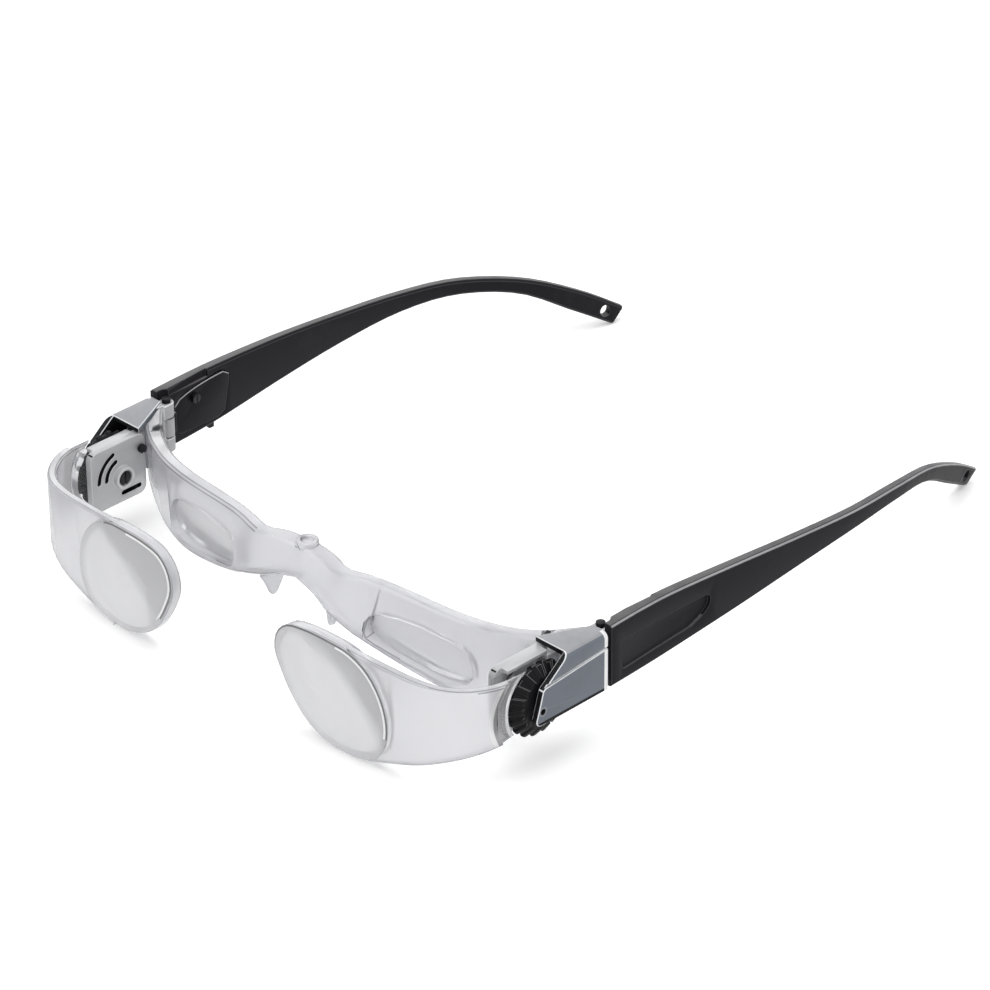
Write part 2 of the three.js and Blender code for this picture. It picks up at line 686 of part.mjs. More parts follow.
function armBand() {
  const plan = tableReader(armShares.map((row, i) => [i / (armShares.length - 1), ...row]));
  const middle = (share) => {
    const across = lensX + plan(share, 1) * (armCornerX - lensX);
    return new THREE.Vector3(across, armFrontY + plan(share, 2) * armDepth, 0);
  };
  const rings = [];
  for (let i = 0; i <= armSteps; i += 1) {
    const share = i / armSteps;
    const step = 0.5 / armSteps;
    const along = middle(Math.min(share + step, 1)).sub(middle(Math.max(share - step, 0))).normalize();
    const normal = new THREE.Vector3(along.y, -along.x, 0);
    const back = middle(share).addScaledVector(normal, -armWall / 2);
    const top = back.clone().setZ(plan(share, 3) * armTop);
    const bottom = back.clone().setZ(plan(share, 4) * armTop);
    rings.push(wallRing(top, bottom, normal, armWall, armChamfer));
  }
  return loft(rings);
}

// Where the crank pin stands at rest
const pinY = wheelY + crankRadius * Math.sin(crankSwing);
const pinZ = wheelZ + crankRadius * Math.cos(crankSwing);
const pocketRadius = wheelRadius + pocketGap;

function objectiveArm() {
  const rimShape = new THREE.Shape(lensOutline(0));
  rimShape.holes.push(new THREE.Path(lensOutline(-rimWidth).reverse()));
  const rim = frontPlate(rimShape, rimThick, lensTurn, lensPlace);
  const opening = frontPlate(new THREE.Shape(lensOutline(-rimWidth)), lensHalfWidth, lensTurn, lensPlace);
  const pocket = rodX(pocketRadius, slideInnerX, housingOuterX + overrun, wheelY, wheelZ, wheelSides);
  const recessX = armCornerX - recessSet;
  const recessRadius = pocketRadius + recessReach;
  const recess = rodX(recessRadius, recessX, housingOuterX + overrun, wheelY, wheelZ, wheelSides);
  const band = cut(toSolid(armBand()), opening, pocket, recess);
  const wallRadius = pocketRadius + pocketWall;
  const wallDisc = toSolid(rodX(wallRadius, slideInnerX, recessX, wheelY, wheelZ, wheelSides));
  const wallRound = cut(wallDisc, pocket);
  const wallRearY = wheelY - pocketRadius * pocketCutShare;
  const wallLimit = toSolid(block(slideInnerX, recessX, wheelY - wallRadius - overrun, wallRearY,
    slideBottom, slideTop));
  const plateFrontY = wheelY - pocketRadius - pocketWall / 2;
  const outline = rectangle(plateFrontY, slideRearY, slideBottom, slideTop, seatGap);
  const plate = sidePlate(outline, slideInnerX, slideOuterX);
  const pinSlot = slotShape(pinY, (pinZ + wheelZ + crankRadius) / 2, 0, wheelZ + crankRadius - pinZ,
    2 * (pinRadius + slotGap));
  const axleSlot = rectangle(wheelY - axleRadius - seatGap * 2, slideRearY + overrun,
    wheelZ - axleRadius - slotGap, wheelZ + axleRadius + slotGap, 0);
  const [fromX, toX] = [slideInnerX - overrun, slideOuterX + overrun];
  const tools = [pinSlot, axleSlot].map((shape) => sidePlate(shape, fromX, toX));
  const body = toSolid(rim).add(band).add(wallRound.intersect(wallLimit)).add(toSolid(plate));
  return toGeometry(cut(body, ...tools));
}

function carrierPlate() {
  const outline = rectangle(carrierFrontY, carrierRearY, carrierBottom, carrierTop, carrierCorner);
  const plate = sidePlate(outline, carrierInnerX, carrierOuterX);
  const ribHeights = [[carrierBottom, slideBottom - seatGap], [slideTop + seatGap, carrierTop]];
  const ribs = ribHeights.map(([low, high]) => {
    return block(carrierOuterX - carrierThick / 2, carrierOuterX + ribReach,
      carrierFrontY + carrierCorner, carrierRearY - carrierCorner, low, high);
  });
  const bossEndX = carrierInnerX - carrierBossLength;
  const boss = rodX(carrierBossRadius, bossEndX, carrierOuterX, wheelY, wheelZ);
  const recess = rodX(axleHeadRadius + seatGap, bossEndX - overrun, carrierInnerX + runGap, wheelY, wheelZ);
  const bore = rodX(axleRadius + runGap, carrierInnerX - overrun, carrierOuterX + overrun, wheelY, wheelZ);
  const screwHole = rodX(carrierScrewRadius + runGap, carrierInnerX - overrun, carrierOuterX + overrun,
    carrierScrewY, carrierScrewZ);
  const arcs = arcSlotShares.map((share) => {
    return arcSlot(wheelY, wheelZ, wheelRadius * share, arcSlotWidth, arcSlotFrom, arcSlotTo);
  });
  const bar = slotShape(wheelY + barSlotBack, slideBottom + barSlotRise, barSlotLength, 0, barSlotWidth);
  const slots = [...arcs, bar];
  const tools = slots.map((shape) => sidePlate(shape, carrierInnerX - overrun, carrierOuterX + overrun));
  return toGeometry(cut(join(plate, ...ribs, boss), recess, bore, screwHole, ...tools));
}

// Round body of the wheel, with a slanted outer rim
function wheelCrown(inset) {
  const crown = new THREE.LatheGeometry([
    new THREE.Vector2(0, 0),
    new THREE.Vector2(wheelRadius - wheelBevelInner - inset, 0),
    new THREE.Vector2(wheelRadius - inset, wheelBevelInner),
    new THREE.Vector2(wheelRadius - inset, wheelThick - wheelConeDepth),
    new THREE.Vector2(wheelRadius - wheelConeReach - inset, wheelThick),
    new THREE.Vector2(0, wheelThick),
  ], wheelTeeth * 2);
  return toSolid(crown.rotateZ(-Math.PI / 2).translate(wheelInnerX, wheelY, wheelZ));
}

function focusWheel() {
  const shape = new THREE.Shape();
  const pitch = (Math.PI * 2) / wheelTeeth;
  const root = wheelRadius - wheelConeReach - toothDepth * 2;
  for (let i = 0; i < wheelTeeth; i += 1) {
    const at = i * pitch;
    const half = (pitch * toothShare) / 2;
    const flank = pitch * flankShare;
    const corners = [
      [at - half - flank, root], [at - half + flank, wheelRadius],
      [at + half - flank, wheelRadius], [at + half + flank, root],
    ];
    corners.forEach(([angle, radius], corner) => {
      const point = [radius * Math.cos(angle), radius * Math.sin(angle)];
      if (i === 0 && corner === 0) shape.moveTo(...point);
      else shape.lineTo(...point);
    });
  }
  shape.closePath();
  const star = toSolid(sidePlate(shape, wheelInnerX, wheelInnerX + wheelThick).translate(0, wheelY, wheelZ));
  const body = star.intersect(wheelCrown(0)).add(wheelCrown(toothDepth));
  const fromX = wheelInnerX - overrun;
  const bore = rodX(axleRadius + runGap, fromX, wheelInnerX + wheelThick + overrun, wheelY, wheelZ);
  const pinHole = rodX(pinRadius + runGap, fromX, wheelInnerX + pinDepth + seatGap, pinY, pinZ);
  return toGeometry(cut(body, bore, pinHole));
}

function crankPin() {
  return rodX(pinRadius, carrierOuterX + seatGap, wheelInnerX + pinDepth, pinY, pinZ);
}

function screwAlongX(head, headThick, shank, fromX, toX, y, z) {
  const headDisc = rodX(head, fromX, fromX + headThick, y, z);
  const body = join(headDisc, rodX(shank, fromX + headThick / 2, toX, y, z));
  const slot = block(fromX - overrun, fromX + headThick * screwSlotShare,
    y - screwSlotWidth / 2, y + screwSlotWidth / 2, z - head - overrun, z + head + overrun);
  return toGeometry(cut(body, slot));
}

function housingOutline() {
  const shape = new THREE.Shape();
  shape.moveTo(housingRearY, housingBottom);
  shape.lineTo(housingRearY, housingTop);
  shape.lineTo(roofFrontY, housingTop);
  shape.lineTo(cheekY, cheekZ);
  const tipZ = housingBottom + noseTipRadius;
  shape.quadraticCurveTo(noseTipY + cheekBow, (cheekZ + housingBottom) / 2, noseTipY, tipZ);
  shape.quadraticCurveTo(noseTipY, housingBottom, noseTipY + noseTipRadius, housingBottom);
  return shape;
}

// Roof over the mechanism, whose inner edge runs out towards the rear
function roofPlate(grow, lowZ, highZ) {
  const shape = new THREE.Shape();
  shape.moveTo(housingOuterX - shoulderRadius, roofFrontY - grow);
  shape.lineTo(housingOuterX - shoulderRadius, housingRearY + grow);
  shape.lineTo(hingeX - roofInset - grow, housingRearY + grow);
  shape.lineTo(carrierInnerX - roofInset - grow, roofFrontY - grow);
  const geometry = new THREE.ExtrudeGeometry(shape, { depth: highZ - lowZ, bevelEnabled: false });
  return geometry.translate(0, 0, lowZ);
}

function sideHousing() {
  const side = sidePlate(housingOutline(), housingInnerX, housingOuterX, curveSteps);
  const roof = roofPlate(0, housingTop - roofThick, housingTop);
  const blockFrontY = wheelY + wheelRadius + blockGap;
  const body = block(slideOuterX + seatGap, housingInnerX + seatGap, blockFrontY, housingRearY,
    housingBottom, housingTop - roofThick / 2);
  const round = rectangle(0, housingOuterX, 0, housingTop, shoulderRadius);
  const shoulder = frontPlate(round, housingRearY * 2, 0, new THREE.Vector3(0, housingRearY, 0));
  const lugs = [lugLowZ, lugHighZ].flatMap((z) => [
    rodZ(knuckleRadius, z, z + lugHeight, hingeX, hingeY),
    block(hingeX - knuckleRadius, hingeX + knuckleRadius * lugRootShare,
      housingRearY - seatGap, hingeY, z, z + lugHeight),
  ]);
  const stepLine = new THREE.Shape();
  const [frontZ, rearZ] = [cheekZ + stepFrontRise, housingTop - stepRearDrop];
  stepLine.moveTo(cheekY - overrun, frontZ);
  stepLine.lineTo(housingRearY + overrun, rearZ);
  stepLine.lineTo(housingRearY + overrun, rearZ + stepWidth);
  stepLine.lineTo(cheekY - overrun, frontZ + stepWidth);
  const tools = [
    sidePlate(stepLine, housingOuterX - stepDepth, housingOuterX + overrun),
    rodX(markHoleRadius, housingOuterX - markHoleDepth, housingOuterX + overrun,
      noseTipY + markHoleInset, wheelZ - markHoleDrop, smallRodSides),
    rodX(axleRadius + runGap, housingInnerX - overrun, housingInnerX + axleSeat + seatGap, wheelY, wheelZ),
    rodX(frameScrewRadius + runGap, slideOuterX - overrun, housingInnerX - seatGap, frameScrewY, frameScrewZ),
    rodZ(hingePinRadius + runGap, lugLowZ - overrun, lugHighZ + lugHeight + overrun, hingeX, hingeY),
  ];
  const shell = join(side, roof, body, ...lugs).intersect(toSolid(shoulder));
  return toGeometry(cut(shell, ...tools));
}

const knuckleLow = lugLowZ + lugHeight + seatGap;
const knuckleHigh = lugHighZ - seatGap;

function hingePin() {
  const top = lugHighZ + lugHeight;
  return toGeometry(join(
    rodZ(hingePinRadius, lugLowZ, top + pinRise, hingeX, hingeY),
    rodZ(pinHeadRadius, top + seatGap, top + pinRise, hingeX, hingeY),
  ));
}

const templePlan = tableReader(templeShares.map((row, i) => [i / (templeShares.length - 1), ...row]));

function templeSection(share) {
  const upper = new THREE.Vector3(0, templeFrontY + templePlan(share, 1) * templeLength, 0);
  const lower = new THREE.Vector3(0, templeFrontY + templePlan(share, 2) * templeLength, 0);
  upper.x = templePlan(share, 3) * templeOuterX;
  lower.x = upper.x;
  upper.z = templePlan(share, 4) * templeTop;
  lower.z = Math.max(templePlan(share, 5), 0) * templeTop;
  return { upper, lower, wall: templePlan(share, 6) * templeWall };
}

function templeNormal(share) {
  const step = 0.5 / templeSteps;
  const ahead = templeSection(Math.min(share + step, 1)).upper;
  const along = ahead.sub(templeSection(Math.max(share - step, 0)).upper).setZ(0).normalize();
  return new THREE.Vector3(-along.y, along.x, 0);
}

function templeBody() {
  const rings = [];
  for (let i = 0; i <= templeSteps; i += 1) {
    const share = i / templeSteps;
    const { upper, lower, wall } = templeSection(share);
    rings.push(wallRing(upper, lower, templeNormal(share), wall, templeChamfer));
  }
  return loft(rings);
}

// Bare sunk panel on the outer face, with a rounded rear end
function panelShape() {
  const shape = new THREE.Shape();
  const end = (panelTop - panelBottom) / 2;
  shape.moveTo(panelFrontY + panelCorner, panelBottom);
  shape.lineTo(panelRearY - end - panelSlant, panelBottom + panelRise);
  shape.quadraticCurveTo(panelRearY, panelBottom + panelRise + end / 2, panelRearY, panelTop - end / 2);
  shape.quadraticCurveTo(panelRearY, panelTop, panelRearY - end / 2, panelTop);
  shape.lineTo(panelFrontY + panelCorner, panelTop);
  shape.quadraticCurveTo(panelFrontY, panelTop, panelFrontY, panelTop - panelCorner);
  shape.lineTo(panelFrontY, panelBottom + panelCorner);
  shape.quadraticCurveTo(panelFrontY, panelBottom, panelFrontY + panelCorner, panelBottom);
  return shape;
}

function temple() {
  const clearRadius = knuckleRadius + knuckleClear;
  const hollow = [
    rodZ(clearRadius, 0, templeTop + overrun, hingeX, hingeY),
    block(hingeX - clearRadius - overrun, hingeX + clearRadius, templeFrontY - overrun, hingeY,
      0, templeTop + overrun),
  ];
  const knuckle = [
    rodZ(knuckleRadius, knuckleLow, knuckleHigh, hingeX, hingeY),
    block(hingeX - knuckleRadius * knuckleRootShare, hingeX + knuckleRadius,
      hingeY, hingeY + knuckleRadius * knuckleReachShare, knuckleLow, knuckleHigh),
  ];
  const innerX = templeOuterX - templeWall;
  const nubZ = templeSection(rebateLength / templeLength).lower.z;
  const nub = block(innerX, innerX + nubThick, rebateRearY, rebateRearY + nubLength,
    nubZ - nubDrop, nubZ + nubRise);
  const body = cut(toSolid(templeBody()), ...hollow, rebate()).add(join(...knuckle, nub));
  const tip = templeSection(tipHoleShare);
  const tipMiddle = tip.upper.clone().add(tip.lower).divideScalar(2);
  const tipHole = rodX(tipHoleRadius, -templeWall - overrun, templeWall + overrun, 0, 0);
  const tipNormal = templeNormal(tipHoleShare);
  tipHole.rotateZ(Math.atan2(tipNormal.y, tipNormal.x) - Math.PI);
  tipHole.translate(tipMiddle.x, tipMiddle.y, tipMiddle.z);
  const coverSeat = coverInnerX + coverThick;
  const tools = [
    rodZ(hingePinRadius + runGap, 0, templeTop + overrun, hingeX, hingeY),
    sidePlate(panelShape(), templeOuterX - panelDepth, templeOuterX + overrun, curveSteps),
    tipHole,
    coverPlate(seatGap, coverInnerX - overrun, coverSeat),
    rodX(coverScrewRadius + runGap, coverSeat - overrun, coverSeat + coverScrewDepth + seatGap,
      coverScrewY, coverScrewZ),
  ];
  return toGeometry(cut(body, ...tools));
}

function rebate() {
  const wallMost = templeWall * templeShares[0][5];
  const innerX = templeOuterX - wallMost;
  const shape = new THREE.Shape();
  shape.moveTo(innerX - overrun, templeFrontY - overrun);
  shape.lineTo(innerX, templeFrontY);
  shape.lineTo(innerX + wallMost * rebateShare, rebateRearY);
  shape.lineTo(innerX - overrun, rebateRearY);
  const geometry = new THREE.ExtrudeGeometry(shape, { depth: rebateDepth + overrun, bevelEnabled: false });
  return geometry.translate(0, 0, templeTop - rebateDepth);
}

function coverPlate(grow, fromX, toX) {
  const outline = closedOutline(coverShares, coverLength / 2, coverHeight / 2, coverSteps, grow);
  return sidePlate(new THREE.Shape(outline), fromX, toX).translate(0, coverMiddleY, coverZ);
}

function templeCover() {
  const plate = coverPlate(0, coverInnerX, coverInnerX + coverThick - seatGap);
  const hole = rodX(coverScrewRadius + runGap, coverInnerX - overrun, coverInnerX + coverThick + overrun,
    coverScrewY, coverScrewZ);
  return toGeometry(cut(toSolid(plate), hole));
}

const magnifier = new THREE.Group();

function place(name, geometry, material) {
  const mesh = new THREE.Mesh(geometry, material);
  mesh.name = name;
  magnifier.add(mesh);
}

place('eyepiece_frame', eyepieceFrame(), clearPlastic);

const carrierScrewFromX = carrierInnerX - screwHeadThick - seatGap;
const carrierScrewToX = slideInnerX + slideThick * carrierScrewShare;
const axleFromX = carrierInnerX - axleHeadThick - runGap;
const frameScrewToX = housingInnerX - frameScrewEndGap;
const coverScrewFromX = coverInnerX - screwHeadThick - seatGap;
const coverScrewToX = coverInnerX + coverThick + coverScrewDepth;
const pairs = [
  ['ocular_lens', ocularLens(), lensPlastic],
  ['nose_pad', nosePad(), padSilicone],
  ['objective_arm', objectiveArm(), clearPlastic],
  ['objective_lens', objectiveLens(), lensPlastic],
  ['carrier_plate', carrierPlate(), clearPlastic],
  ['carrier_screw', screwAlongX(carrierScrewHead, screwHeadThick, carrierScrewRadius,
    carrierScrewFromX, carrierScrewToX, carrierScrewY, carrierScrewZ), screwSteel],
  ['focus_wheel', focusWheel(), wheelPlastic],
  ['crank_pin', crankPin(), screwSteel],
  ['axle_screw', screwAlongX(axleHeadRadius, axleHeadThick, axleRadius,
    axleFromX, housingInnerX + axleSeat, wheelY, wheelZ), screwSteel],
  ['side_housing', sideHousing(), greyPlastic],
  ['housing_screw', screwAlongX(frameScrewHead, screwHeadThick, frameScrewRadius,
    frameScrewInnerX, frameScrewToX, frameScrewY, frameScrewZ), screwSteel],
  ['hinge_pin', hingePin(), blackPlastic],
  ['temple', temple(), blackPlastic],
  ['temple_cover', templeCover(), blackPlastic],
  ['cover_screw', screwAlongX(coverScrewHead, screwHeadThick, coverScrewRadius,
    coverScrewFromX, coverScrewToX, coverScrewY, coverScrewZ), screwSteel],
];
for (const [name, geometry, material] of pairs) {
  place(`${name}_left`, geometry, material);
  place(`${name}_right`, mirrored(geometry), material);
}

function lowestPoint(name) {
  const places = magnifier.getObjectByName(name).geometry.attributes.position;
  let low = new THREE.Vector3(0, 0, Infinity);
  for (let i = 0; i < places.count; i += 1) {
    const point = new THREE.Vector3().fromBufferAttribute(places, i);
    if (point.z < low.z) low = point;
  }
  return low;
}

// The model leans forward until the lens rims and the temple tips stand on one plane
const rimFoot = lowestPoint('objective_arm_left');
const tipFoot = lowestPoint('temple_left');
magnifier.rotation.x = Math.atan2(rimFoot.z - tipFoot.z, tipFoot.y - rimFoot.y);
magnifier.updateMatrixWorld(true);

// Its box stands centred on the origin
const box = new THREE.Box3().setFromObject(magnifier, true);
magnifier.position.y = -(box.min.y + box.max.y) / 2;
magnifier.position.z = -box.min.z;

export default magnifier;
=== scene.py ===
import json
import math

import bpy
from mathutils import Euler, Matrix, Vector


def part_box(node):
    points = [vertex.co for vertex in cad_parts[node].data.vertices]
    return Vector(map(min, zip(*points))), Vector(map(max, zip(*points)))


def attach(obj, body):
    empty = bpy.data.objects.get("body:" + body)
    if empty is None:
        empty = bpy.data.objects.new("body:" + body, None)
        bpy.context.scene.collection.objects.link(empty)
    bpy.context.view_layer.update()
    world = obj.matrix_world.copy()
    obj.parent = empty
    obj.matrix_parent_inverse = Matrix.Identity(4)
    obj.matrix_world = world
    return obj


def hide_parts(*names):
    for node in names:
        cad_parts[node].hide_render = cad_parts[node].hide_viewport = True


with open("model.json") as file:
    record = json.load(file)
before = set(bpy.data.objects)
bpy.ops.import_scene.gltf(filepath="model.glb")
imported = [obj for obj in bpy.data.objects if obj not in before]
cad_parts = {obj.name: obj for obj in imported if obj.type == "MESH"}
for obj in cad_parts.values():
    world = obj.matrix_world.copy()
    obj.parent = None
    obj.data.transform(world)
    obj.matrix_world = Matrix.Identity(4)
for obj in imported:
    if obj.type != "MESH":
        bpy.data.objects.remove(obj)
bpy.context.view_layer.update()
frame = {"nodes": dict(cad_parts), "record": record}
bodyOfNode = {}
for body, carried in frame["record"]["behaviour"]["bodies"].items():
    bodyOfNode.update({node: body for node in carried})
print("stage 1: frame loaded,", len(frame["nodes"]), "nodes")

# Camera, at the photograph's viewing angle
cameraLook = {
    "place": (0.708923, -0.714502, 0.600661),
    "turn": (59.6474, 0.2041, 44.9872),  # degrees about X, Y and Z
    "focalLength": 181.8, "sensor": 36,  # millimetres
    "sight": 20,  # metres
}

cameraData = bpy.data.cameras.new("photoCamera")
cameraData.lens = cameraLook["focalLength"]
cameraData.sensor_width = cameraLook["sensor"]
cameraData.clip_end = cameraLook["sight"]
camera = bpy.data.objects.new("photoCamera", cameraData)
camera.location = cameraLook["place"]
camera.rotation_euler = Euler([math.radians(a) for a in cameraLook["turn"]])
bpy.context.scene.collection.objects.link(camera)
bpy.context.scene.camera = camera
bpy.context.scene.view_settings.view_transform = "Standard"


# Helpers for node trees
def feed(tree, socket, value):
    # Gives a socket a number, a colour or another node's output
    if isinstance(value, (int, float)):
        socket.default_value = value
    elif isinstance(value, tuple):
        socket.default_value = (*value, 1)
    else:
        tree.links.new(value, socket)


def mathNode(tree, operation, first, second=0):
    node = tree.nodes.new("ShaderNodeMath")
    node.operation = operation
    feed(tree, node.inputs[0], first)
    feed(tree, node.inputs[1], second)
    return node.outputs[0]


def rangeNode(tree, value, low=0, high=1, start=0, end=1):
    # Maps start to end onto low to high
    node = tree.nodes.new("ShaderNodeMapRange")
    ends = {"Value": value, "From Min": start, "From Max": end, "To Min": low, "To Max": high}
    for label, number in ends.items():
        feed(tree, node.inputs[label], number)
    return node.outputs["Result"]


def objectPlace(tree):
    return tree.nodes.new("ShaderNodeTexCoord").outputs["Object"]


def raysOf(tree, *kinds):
    # 1 for rays of any of these kinds
    path = tree.nodes.new("ShaderNodeLightPath")
    rays = path.outputs[kinds[0]]
    for kind in kinds[1:]:
        rays = mathNode(tree, "MAXIMUM", rays, path.outputs[kind])
    return rays


# Soft studio light: a large lamp overhead, two weak ones at the sides, and a plain sky
lightLook = {
    "sky": 0.45,
    "lamps": {
        "overhead": {"place": (0, 0, 1.5), "aim": (0, 0, 0), "size": 1.5, "power": 18},
        "frontLeft": {"place": (1.3, -1.1, 0.9), "aim": (0, 0, 0.01), "size": 0.9, "power": 2.5},
        "backRight": {"place": (-1.3, 0.9, 0.9), "aim": (0, 0, 0.01), "size": 0.9, "power": 3.5},
    },
}


def makeSky():
    # White in the picture and in what gloss and clear plastic show, weaker as a light
    world = bpy.data.worlds.new("studioSky")
    world.use_nodes = True
    tree = world.node_tree
    background = tree.nodes["Background"]
    background.inputs["Color"].default_value = (1, 1, 1, 1)
    white = raysOf(tree, "Is Glossy Ray", "Is Transmission Ray", "Is Camera Ray")
    feed(tree, background.inputs["Strength"], rangeNode(tree, white, low=lightLook["sky"]))
    bpy.context.scene.world = world


def makeLamps():
    for name, look in lightLook["lamps"].items():
        data = bpy.data.lights.new(name, "AREA")
        data.size = look["size"]
        data.energy = look["power"]
        lamp = bpy.data.objects.new(name, data)
        lamp.location = look["place"]
        away = Vector(look["place"]) - Vector(look["aim"])
        lamp.rotation_euler = away.to_track_quat("Z", "Y").to_euler()
        bpy.context.scene.collection.objects.link(lamp)


floorLook = {
    "size": 8, "below": 0.0002, "colour": (0.9, 0.9, 0.9), "glow": 0.3,
    "whiteFrom": 0.35, "whiteTo": 0.9,  # distance over which the paper turns plain white, up to the horizon
}


def emission(tree, strength):
    node = tree.nodes.new("ShaderNodeEmission")
    node.inputs["Strength"].default_value = strength
    return node.outputs[0]


def farPaper(tree):
    # 1 where the camera sees paper far from the object
    reach = tree.nodes.new("ShaderNodeVectorMath")
    reach.operation = "LENGTH"
    feed(tree, reach.inputs[0], objectPlace(tree))
    far = rangeNode(tree, reach.outputs["Value"], start=floorLook["whiteFrom"], end=floorLook["whiteTo"])
    return mathNode(tree, "MULTIPLY", far, raysOf(tree, "Is Camera Ray"))


def makeFloor():
    bpy.ops.object.select_all(action="DESELECT")
    bpy.ops.mesh.primitive_plane_add(size=floorLook["size"], location=(0, 0, -floorLook["below"]))
    floor = bpy.context.object
    floor.name = "studioFloor"
    material = bpy.data.materials.new("paperFloor")
    material.use_nodes = True
    tree = material.node_tree
    tree.nodes.clear()
    paper = tree.nodes.new("ShaderNodeBsdfDiffuse")
    feed(tree, paper.inputs["Color"], floorLook["colour"])
    lit = tree.nodes.new("ShaderNodeAddShader")
    feed(tree, lit.inputs[0], paper.outputs[0])
    feed(tree, lit.inputs[1], emission(tree, floorLook["glow"]))
    surface = tree.nodes.new("ShaderNodeMixShader")
    mirrored = raysOf(tree, "Is Glossy Ray", "Is Transmission Ray")
    feed(tree, surface.inputs["Fac"], mathNode(tree, "MAXIMUM", mirrored, farPaper(tree)))
    feed(tree, surface.inputs[1], lit.outputs[0])
    feed(tree, surface.inputs[2], emission(tree, 1))
    output = tree.nodes.new("ShaderNodeOutputMaterial")
    feed(tree, output.inputs["Surface"], surface.outputs[0])
    floor.data.materials.append(material)


makeSky()
makeLamps()
makeFloor()
print("stage 2: camera, lamps and floor")


# Shared surface effects, each a node group
def newGroup(name, inputs, outputs):
    group = bpy.data.node_groups.new(name, "ShaderNodeTree")
    for label, value in inputs.items():
        socket = group.interface.new_socket(label, in_out="INPUT", socket_type="NodeSocketFloat")
        socket.default_value = value
    for label in outputs:
        group.interface.new_socket(label, in_out="OUTPUT", socket_type="NodeSocketFloat")
    return group, group.nodes.new("NodeGroupInput").outputs, group.nodes.new("NodeGroupOutput").inputs


def noiseNode(tree, scale, detail):
    noise = tree.nodes.new("ShaderNodeTexNoise")
    feed(tree, noise.inputs["Vector"], objectPlace(tree))
    feed(tree, noise.inputs["Scale"], scale)
    noise.inputs["Detail"].default_value = detail
    return noise.outputs["Fac"]


grainShape = {"fineDetail": 3, "coarseScale": 0.31, "coarseDetail": 2}


def makeMouldGrain():
    # Fine spark-eroded grain of a moulding tool, as a height
    group, given, result = newGroup("mouldGrain", {"Grain size": 0.0004}, ["Height"])
    scale = mathNode(group, "DIVIDE", 1, given["Grain size"])
    coarseScale = mathNode(group, "MULTIPLY", scale, grainShape["coarseScale"])
    fine = noiseNode(group, scale, grainShape["fineDetail"])
    coarse = noiseNode(group, coarseScale, grainShape["coarseDetail"])
    feed(group, result["Height"], mathNode(group, "ADD", fine, coarse))
    return group


smudgeShape = {
    "patchDetail": 4, "streakScale": 7, "streakDetail": 5, "streakLift": 0.5, "from": 0.45, "to": 0.7,
}


def makeHandling():
    # Faint smudges from handling, as a mask
    group, given, result = newGroup("handling", {"Patch size": 0.02}, ["Mask"])
    scale = mathNode(group, "DIVIDE", 1, given["Patch size"])
    streakScale = mathNode(group, "MULTIPLY", scale, smudgeShape["streakScale"])
    patches = noiseNode(group, scale, smudgeShape["patchDetail"])
    streaks = noiseNode(group, streakScale, smudgeShape["streakDetail"])
    lifted = mathNode(group, "ADD", streaks, smudgeShape["streakLift"])
    both = mathNode(group, "MULTIPLY", patches, lifted)
    feed(group, result["Mask"], rangeNode(group, both, start=smudgeShape["from"], end=smudgeShape["to"]))
    return group


flowShape = {"waveDetail": 1, "tintScale": 1.7, "tintDetail": 2}


def makeMouldFlow():
    # Long soft waves that clear plastic keeps from its moulding, and a slow change of tint
    group, given, result = newGroup("mouldFlow", {"Length": 0.03}, ["Height", "Tint"])
    scale = mathNode(group, "DIVIDE", 1, given["Length"])
    tintScale = mathNode(group, "MULTIPLY", scale, flowShape["tintScale"])
    feed(group, result["Height"], noiseNode(group, scale, flowShape["waveDetail"]))
    feed(group, result["Tint"], noiseNode(group, tintScale, flowShape["tintDetail"]))
    return group


crisp = 0.0001  # how far a mark's border fades, where nothing else is said


def makeRoundMark():
    # Ring or disc as a mask: seen from the side, or from the front where On front is 1
    group, given, result = newGroup("roundMark", {
        "Centre across": 0, "Centre up": 0, "On front": 0,
        "Radius": 0.01, "Half width": 0.001, "Softness": crisp,
    }, ["Mask"])
    place = group.nodes.new("ShaderNodeSeparateXYZ")
    feed(group, place.inputs[0], objectPlace(group))
    onSide = mathNode(group, "SUBTRACT", 1, given["On front"])
    fromSide = mathNode(group, "MULTIPLY", place.outputs["Y"], onSide)
    fromFront = mathNode(group, "MULTIPLY", place.outputs["X"], given["On front"])
    along = mathNode(group, "ADD", fromSide, fromFront)
    across = mathNode(group, "SUBTRACT", along, given["Centre across"])
    up = mathNode(group, "SUBTRACT", place.outputs["Z"], given["Centre up"])
    acrossSquare = mathNode(group, "MULTIPLY", across, across)
    upSquare = mathNode(group, "MULTIPLY", up, up)
    reach = mathNode(group, "SQRT", mathNode(group, "ADD", acrossSquare, upSquare))
    away = mathNode(group, "ABSOLUTE", mathNode(group, "SUBTRACT", reach, given["Radius"]))
    inside = mathNode(group, "SUBTRACT", given["Half width"], away)
    mask = mathNode(group, "DIVIDE", inside, given["Softness"])
    mask.node.use_clamp = True
    feed(group, result["Mask"], mask)
    return group


mouldGrain, handling, mouldFlow = makeMouldGrain(), makeHandling(), makeMouldFlow()
roundMark = makeRoundMark()


def useGroup(tree, group, values):
    node = tree.nodes.new("ShaderNodeGroup")
    node.node_tree = group
    for label, value in values.items():
        node.inputs[label].default_value = value
    return node.outputs


def colourNode(tree, factor, first, second):
    node = tree.nodes.new("ShaderNodeMix")
    node.data_type = "RGBA"
    feed(tree, node.inputs["Factor"], factor)
    feed(tree, node.inputs["A"], first)
    feed(tree, node.inputs["B"], second)
    return node.outputs["Result"]


def bumpNode(tree, height, strength, distance):
    node = tree.nodes.new("ShaderNodeBump")
    node.inputs["Strength"].default_value = strength
    node.inputs["Distance"].default_value = distance
    feed(tree, node.inputs["Height"], height)
    return node.outputs["Normal"]


